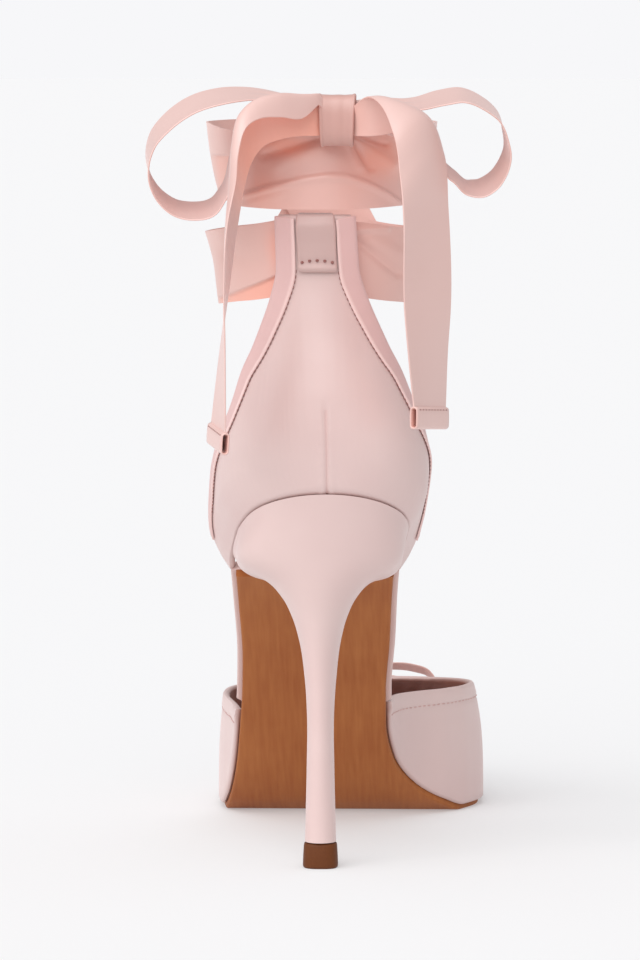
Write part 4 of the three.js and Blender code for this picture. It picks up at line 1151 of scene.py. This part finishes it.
def wrap_painted_glow():
    """Painted glow of the outer face, where light bounces between layers in shade: by the rows of painted
    glow on the upper turn, in the tucked edge, on the second layer and beside the tab."""
    glow = sum(strength * bump(wrap_x, x, wide) * bump(wrap_z, z, high)
               for strength, x, wide, z, high in PAINTED_GLOW_ROWS)
    beside_tab = 0.5 * bump(wrap_x, -12.5, 2.5) * bump(wrap_z, 184, 7) * wrap_lower
    return np.clip(glow * wrap_upper + under_tuck + 0.45 * second_layer + beside_tab + BASE_PAINTED_GLOW, 0, 1)


def band(face, back):
    """Grids of a ribbon closed on itself along its length: the two faces and the rims along its edges."""
    # Painted glow: the outer face by its marks, the inside face evenly
    marks = wrap_painted_glow()
    inner = np.full_like(marks, INSIDE_PAINTED_GLOW)
    rims = [(np.stack([face[:, k], back[:, k]], 1), np.stack([inner[:, k], marks[:, k]], 1)) for k in (0, -1)]
    return [(face, inner), (back, marks)] + rims


face, back = strip(wrap_line, wrap_across, RIBBON_WIDTH, RIBBON, wrap_folds, len(wrap_v), around=True)
face[-1], back[-1] = face[0], back[0]
ankle_nodes = ["ankle_ribbon_outer", "ankle_ribbon_inner"]
ankle = piece("ankle_ribbon", band(face, back), ribbon_satin, ankle_nodes)


# Bow. The loops stand nearly edge-on to the back, their far edge a little higher. A tail's start is drawn
# in towards the knot's middle by KNOT_TUCK.
LOOP_ACROSS = np.array([-0.11, 0.97, 0.2])
# A faint painted glow on both faces of the loops and of the small bow's loops
LOOP_PAINTED_GLOW = (0.1, 0.1)
KNOT_TUCK = 0.3
CORE_INSET = 0.9
knot_y = ankle_back - BEHIND_LOWER_TURN - FRAME_RIBBON / 2 - GAP - KNOT_DEPTH / 2
knot_z = KNOT_TOP - KNOT_HEIGHT / 2


def bow_place(side, out, back, height):
    """Point of the bow: out of the knot's side as a share of LOOP_REACH, back of RIBBON_WIDTH, height."""
    start = KNOT_CENTRE + side * (KNOT_WIDTH / 2 + GAP)
    return np.stack([start + side * out * LOOP_REACH, knot_y - back * RIBBON_WIDTH, height], -1)


def loop_strip(rows, side, seed):
    """A loop of the bow from its rows: the line from the knot's side out and back, the ribbon nearly
    edge-on to the back, gathered at the knot, with soft waves across it."""
    out, up, back, spread = rows.T
    line = bow_place(side, out, back, KNOT_TOP + up * LOOP_HEIGHT)
    fine = through(np.column_stack([line, spread]), 160)
    line, spread = fine[:, :3], np.clip(fine[:, 3], 0.28, 1)
    gather = 1 - ease(spread, 0.35, 0.95)

    def wave(v):
        pleats = 0.5 * np.sin(v * 16 + seed) * gather[:, None]
        return pleats + 0.4 * np.sin(run(line)[:, None] / 9 + seed) * v

    return line, strip(line, LOOP_ACROSS[None], RIBBON_WIDTH * spread, RIBBON, wave, 25)


for (side, side_name), rows in zip(SIDES, (OUTER_LOOP_ROWS, INNER_LOOP_ROWS)):
    line, (face, back) = loop_strip(rows, side, 1.0 + side)
    walls = shell(face, back, rim_rows=1, painted_light=LOOP_PAINTED_GLOW)
    made = piece(f"bow_loop_ribbon_{side_name}", walls, ribbon_satin, [f"bow_loop_{side_name}"])


def tail_surface(rows, side):
    """A tail through its sections: across, the quadratic curve through near edge, middle and far edge,
    n (1 - v)(1 - 2v) + 4 m v (1 - v) + f v (2v - 1), and along it cubic pieces."""
    out, down, back = np.moveaxis(rows, -1, 0)
    places = bow_place(side, out, back, KNOT_TOP - down * TAIL_LENGTH)
    near, middle, far = np.moveaxis(through(places, 170, run(places[:, 1]))[:, :, None], 1, 0)
    v = np.linspace(0, 1, 25)[:, None]
    surface = near * (1 - v) * (1 - 2 * v) + middle * 4 * v * (1 - v) + far * v * (2 * v - 1)
    return np.concatenate([mix(surface[:1], (KNOT_CENTRE, knot_y, knot_z), KNOT_TUCK), surface])


def racetrack(height, thickness):
    """Closed ring of a flattened tube, two straights and two half rounds, by its angle."""
    turn = circle(49)
    radius = thickness / 2
    straight = (height / 2 - radius) * np.clip(np.sin(turn) * 3, -1, 1)
    return straight + radius * np.sin(turn), radius * np.cos(turn)


def hem_grids(point, across, down, normal):
    """Hem of a tail: its end rolled into a flattened tube with open ends, carried across the ribbon."""
    v = np.linspace(-0.5, 0.5, 13)[:, None, None] * RIBBON_WIDTH * across

    def tube(inset):
        along, out = racetrack(HEM_HEIGHT - 2 * inset, HEM_TUBE - 2 * inset)
        return point + down * (HEM_HEIGHT / 2 + along[:, None]) + normal * out[:, None] + v

    # Painted glow, faint on the tube's outside and deeper on its inside face
    return shell(tube(0), tube(HEM_WALL), around=True, painted_light=(0.05, 0.3))


for (side, side_name), rows in zip(SIDES, (OUTER_TAIL_ROWS, INNER_TAIL_ROWS)):
    surface = tail_surface(rows, side)
    line = surface[:, 12]
    half = facing(surface) * side * RIBBON / 2
    # Painted glow: faint on the tail's outer face, strong inside its arch and fading down the tail
    glow = TAIL_PAINTED_GLOW[side] * (1 - ease(run(line), 34, 62))[:, None]
    walls = shell(surface + half, surface - half, rim_rows=1, painted_light=(0.05, glow))
    made = piece(f"bow_tail_ribbon_{side_name}", walls, ribbon_satin, [f"bow_tail_{side_name}"])
    down = unit(line[-1] - line[-3])
    end_across = unit(surface[-1, -1] - surface[-1, 0])
    down = unit(down - end_across * (down @ end_across))
    normal = unit(np.cross(down, end_across))
    hem_walls = hem_grids(line[-1] - down * 0.6, end_across, down, normal)
    hem = piece(f"tail_hem_{side_name}", hem_walls, ribbon_satin)
    row = line[-1] + down * 0.3 + end_across * np.linspace(-0.46, 0.46, 30)[:, None] * RIBBON_WIDTH
    threads = [stitches(row + normal * s * HEM_STITCH_OUT, np.tile(normal * s, (30, 1)), 1.2, 0.8, 0.3)[0]
               for s in (-1, 1)]
    seam_threads = piece(f"hem_stitching_{side_name}", threads, shaded_stitch_thread)


def knot_body(turn, out, half_depth, half_height):
    """Superellipse in the YZ plane by its turn, carried across the knot to the distances out."""
    y = knot_y - half_depth * power(np.cos(turn), 0.6)
    return together(KNOT_CENTRE + out, y, knot_z + half_height * power(np.sin(turn), 0.75))


def knot_band(inset):
    """Ribbon round the knot at an inset, with two upright creases, raised edges and a slight waist."""
    turn = np.append(circle(97)[:-1], 0)
    w = np.linspace(-1, 1, 33)[:, None]
    creases = -0.1 * bump(w, -0.28, 0.3) - 0.12 * bump(w, 0.42, 0.22) + 0.3 * bump(np.abs(w), 0.97, 0.08)
    out = (KNOT_WIDTH / 2 - 0.2) * w * (1 + 0.09 * np.sin(turn))
    return knot_body(turn, out, KNOT_DEPTH / 2 - inset + creases, KNOT_HEIGHT / 2 - inset + creases)


def knot_core():
    """Gathered ribbon inside the knot: a squared ellipsoid a little inside the band."""
    turn = circle(49)
    w = np.linspace(-1, 1, 25)[:, None]
    shrink = np.sqrt(np.clip(1 - np.abs(w) ** 6, 0, 1))
    pleat = 1 + 0.05 * np.sin(turn * 7)
    depth, height = ((size / 2 - CORE_INSET) * shrink * pleat for size in (KNOT_DEPTH, KNOT_HEIGHT))
    return knot_body(turn, (KNOT_WIDTH / 2 - 0.5) * w, depth, height)


# The band's inside face takes the knot's painted glow tone c98676
band_walls = shell(knot_band(0.0), knot_band(0.7), around=True, painted_light=(0, 0.6))
piece("bow_knot_band", band_walls, knot_painted_shade_satin, ["bow_knot"])
piece("bow_knot_core", solid(knot_core()), knot_painted_shade_satin)


# Small bow on the vamp, laid along the vamp's own face
def on_vamp(x, y, lift):
    """Point above the vamp's face."""
    middle, half = outline(y, FEATHER)
    angle = np.arccos(power(np.clip((x - middle) / half, -1, 1), BOXINESS / 2))
    place = vamp_point(y, angle, 0)
    return together(x, place[..., 1], place[..., 2] + lift)


TRIM_BASE = 2 * GAP + TRIM_LIFT
trim_y = float(vamp_topline(np.array([np.pi / 2]))[0]) + TRIM_SETBACK
trim_centre = float(outline(np.array(trim_y), FEATHER)[0])
ahead, behind = (on_vamp(np.array(trim_centre), trim_y + step, 0) for step in (1, -1))
trim_slope = unit(ahead - behind)

for side, side_name in SIDES:
    out, lift = TRIM_LOOP_ROWS.T
    x = trim_centre + side * (TRIM_KNOT_WIDTH / 2 + GAP + out * TRIM_REACH)
    points = on_vamp(x, trim_y + 0 * x, TRIM_BASE + lift * TRIM_KNOT_HEIGHT)
    fine = through(np.column_stack([points, mix(0.6, 1, np.minimum(out * 2, 1))]), 90)
    face, back = strip(fine[:, :3], trim_slope[None], TRIM_WIDTH * fine[:, 3], TRIM, None, 9)
    walls = shell(face, back, rim_rows=1, painted_light=LOOP_PAINTED_GLOW)
    piece(f"small_bow_loop_{side_name}", walls, ribbon_satin, [f"vamp_bow_loop_{side_name}"])


def trim_ring(lift, grow):
    """Ring of the small bow's knot, laid along the vamp."""
    turn = circle(49)
    x = trim_centre + TRIM_KNOT_WIDTH / 2 * grow * power(np.cos(turn), 0.7)
    along = TRIM_WIDTH / 2 * grow * power(np.sin(turn), 0.7)
    return on_vamp(x, trim_y + 0 * turn, TRIM_BASE + lift) + trim_slope * along[:, None]


trim_rings = np.stack([trim_ring(*row) for row in TRIM_KNOT_ROWS])
piece("small_bow_knot", solid(trim_rings), ribbon_satin, ["vamp_bow_knot"])


def studio():
    """A pale floor that reaches to the horizon and meets a surround of its own tone, under soft suns. The
    surround lights the shoe less than it shows, as a lit backdrop far behind it would."""
    mesh = bpy.data.meshes.new("studio_floor")
    corners = [(x * FLOOR_REACH, y * FLOOR_REACH, 0) for x, y in ((-1, -1), (1, -1), (1, 1), (-1, 1))]
    mesh.from_pydata(corners, [], [(0, 1, 2, 3)])
    floor = bpy.data.objects.new("studio_floor", mesh)
    bpy.context.collection.objects.link(floor)
    mesh.materials.append(finish("pale_paper", pale_paper))
    world = bpy.data.worlds.new("surround")
    world.use_nodes = True
    tree = world.node_tree
    strength = spread(tree, node(tree, "LightPath", "Is Camera Ray"), SURROUND_LIGHT, 1)
    join(tree, tree.nodes["Background"], {"Color": linear("f7f7f9"), "Strength": strength})
    bpy.context.scene.world = world
    for name, strength, softness, direction in SUNS:
        light = bpy.data.lights.new(name, "SUN")
        light.energy = strength
        light.angle = math.radians(softness)
        lamp = bpy.data.objects.new(name, light)
        lamp.rotation_euler = Vector(direction).to_track_quat("-Z", "Y").to_euler()
        bpy.context.collection.objects.link(lamp)


bpy.context.scene.view_settings.view_transform = "Standard"
studio()
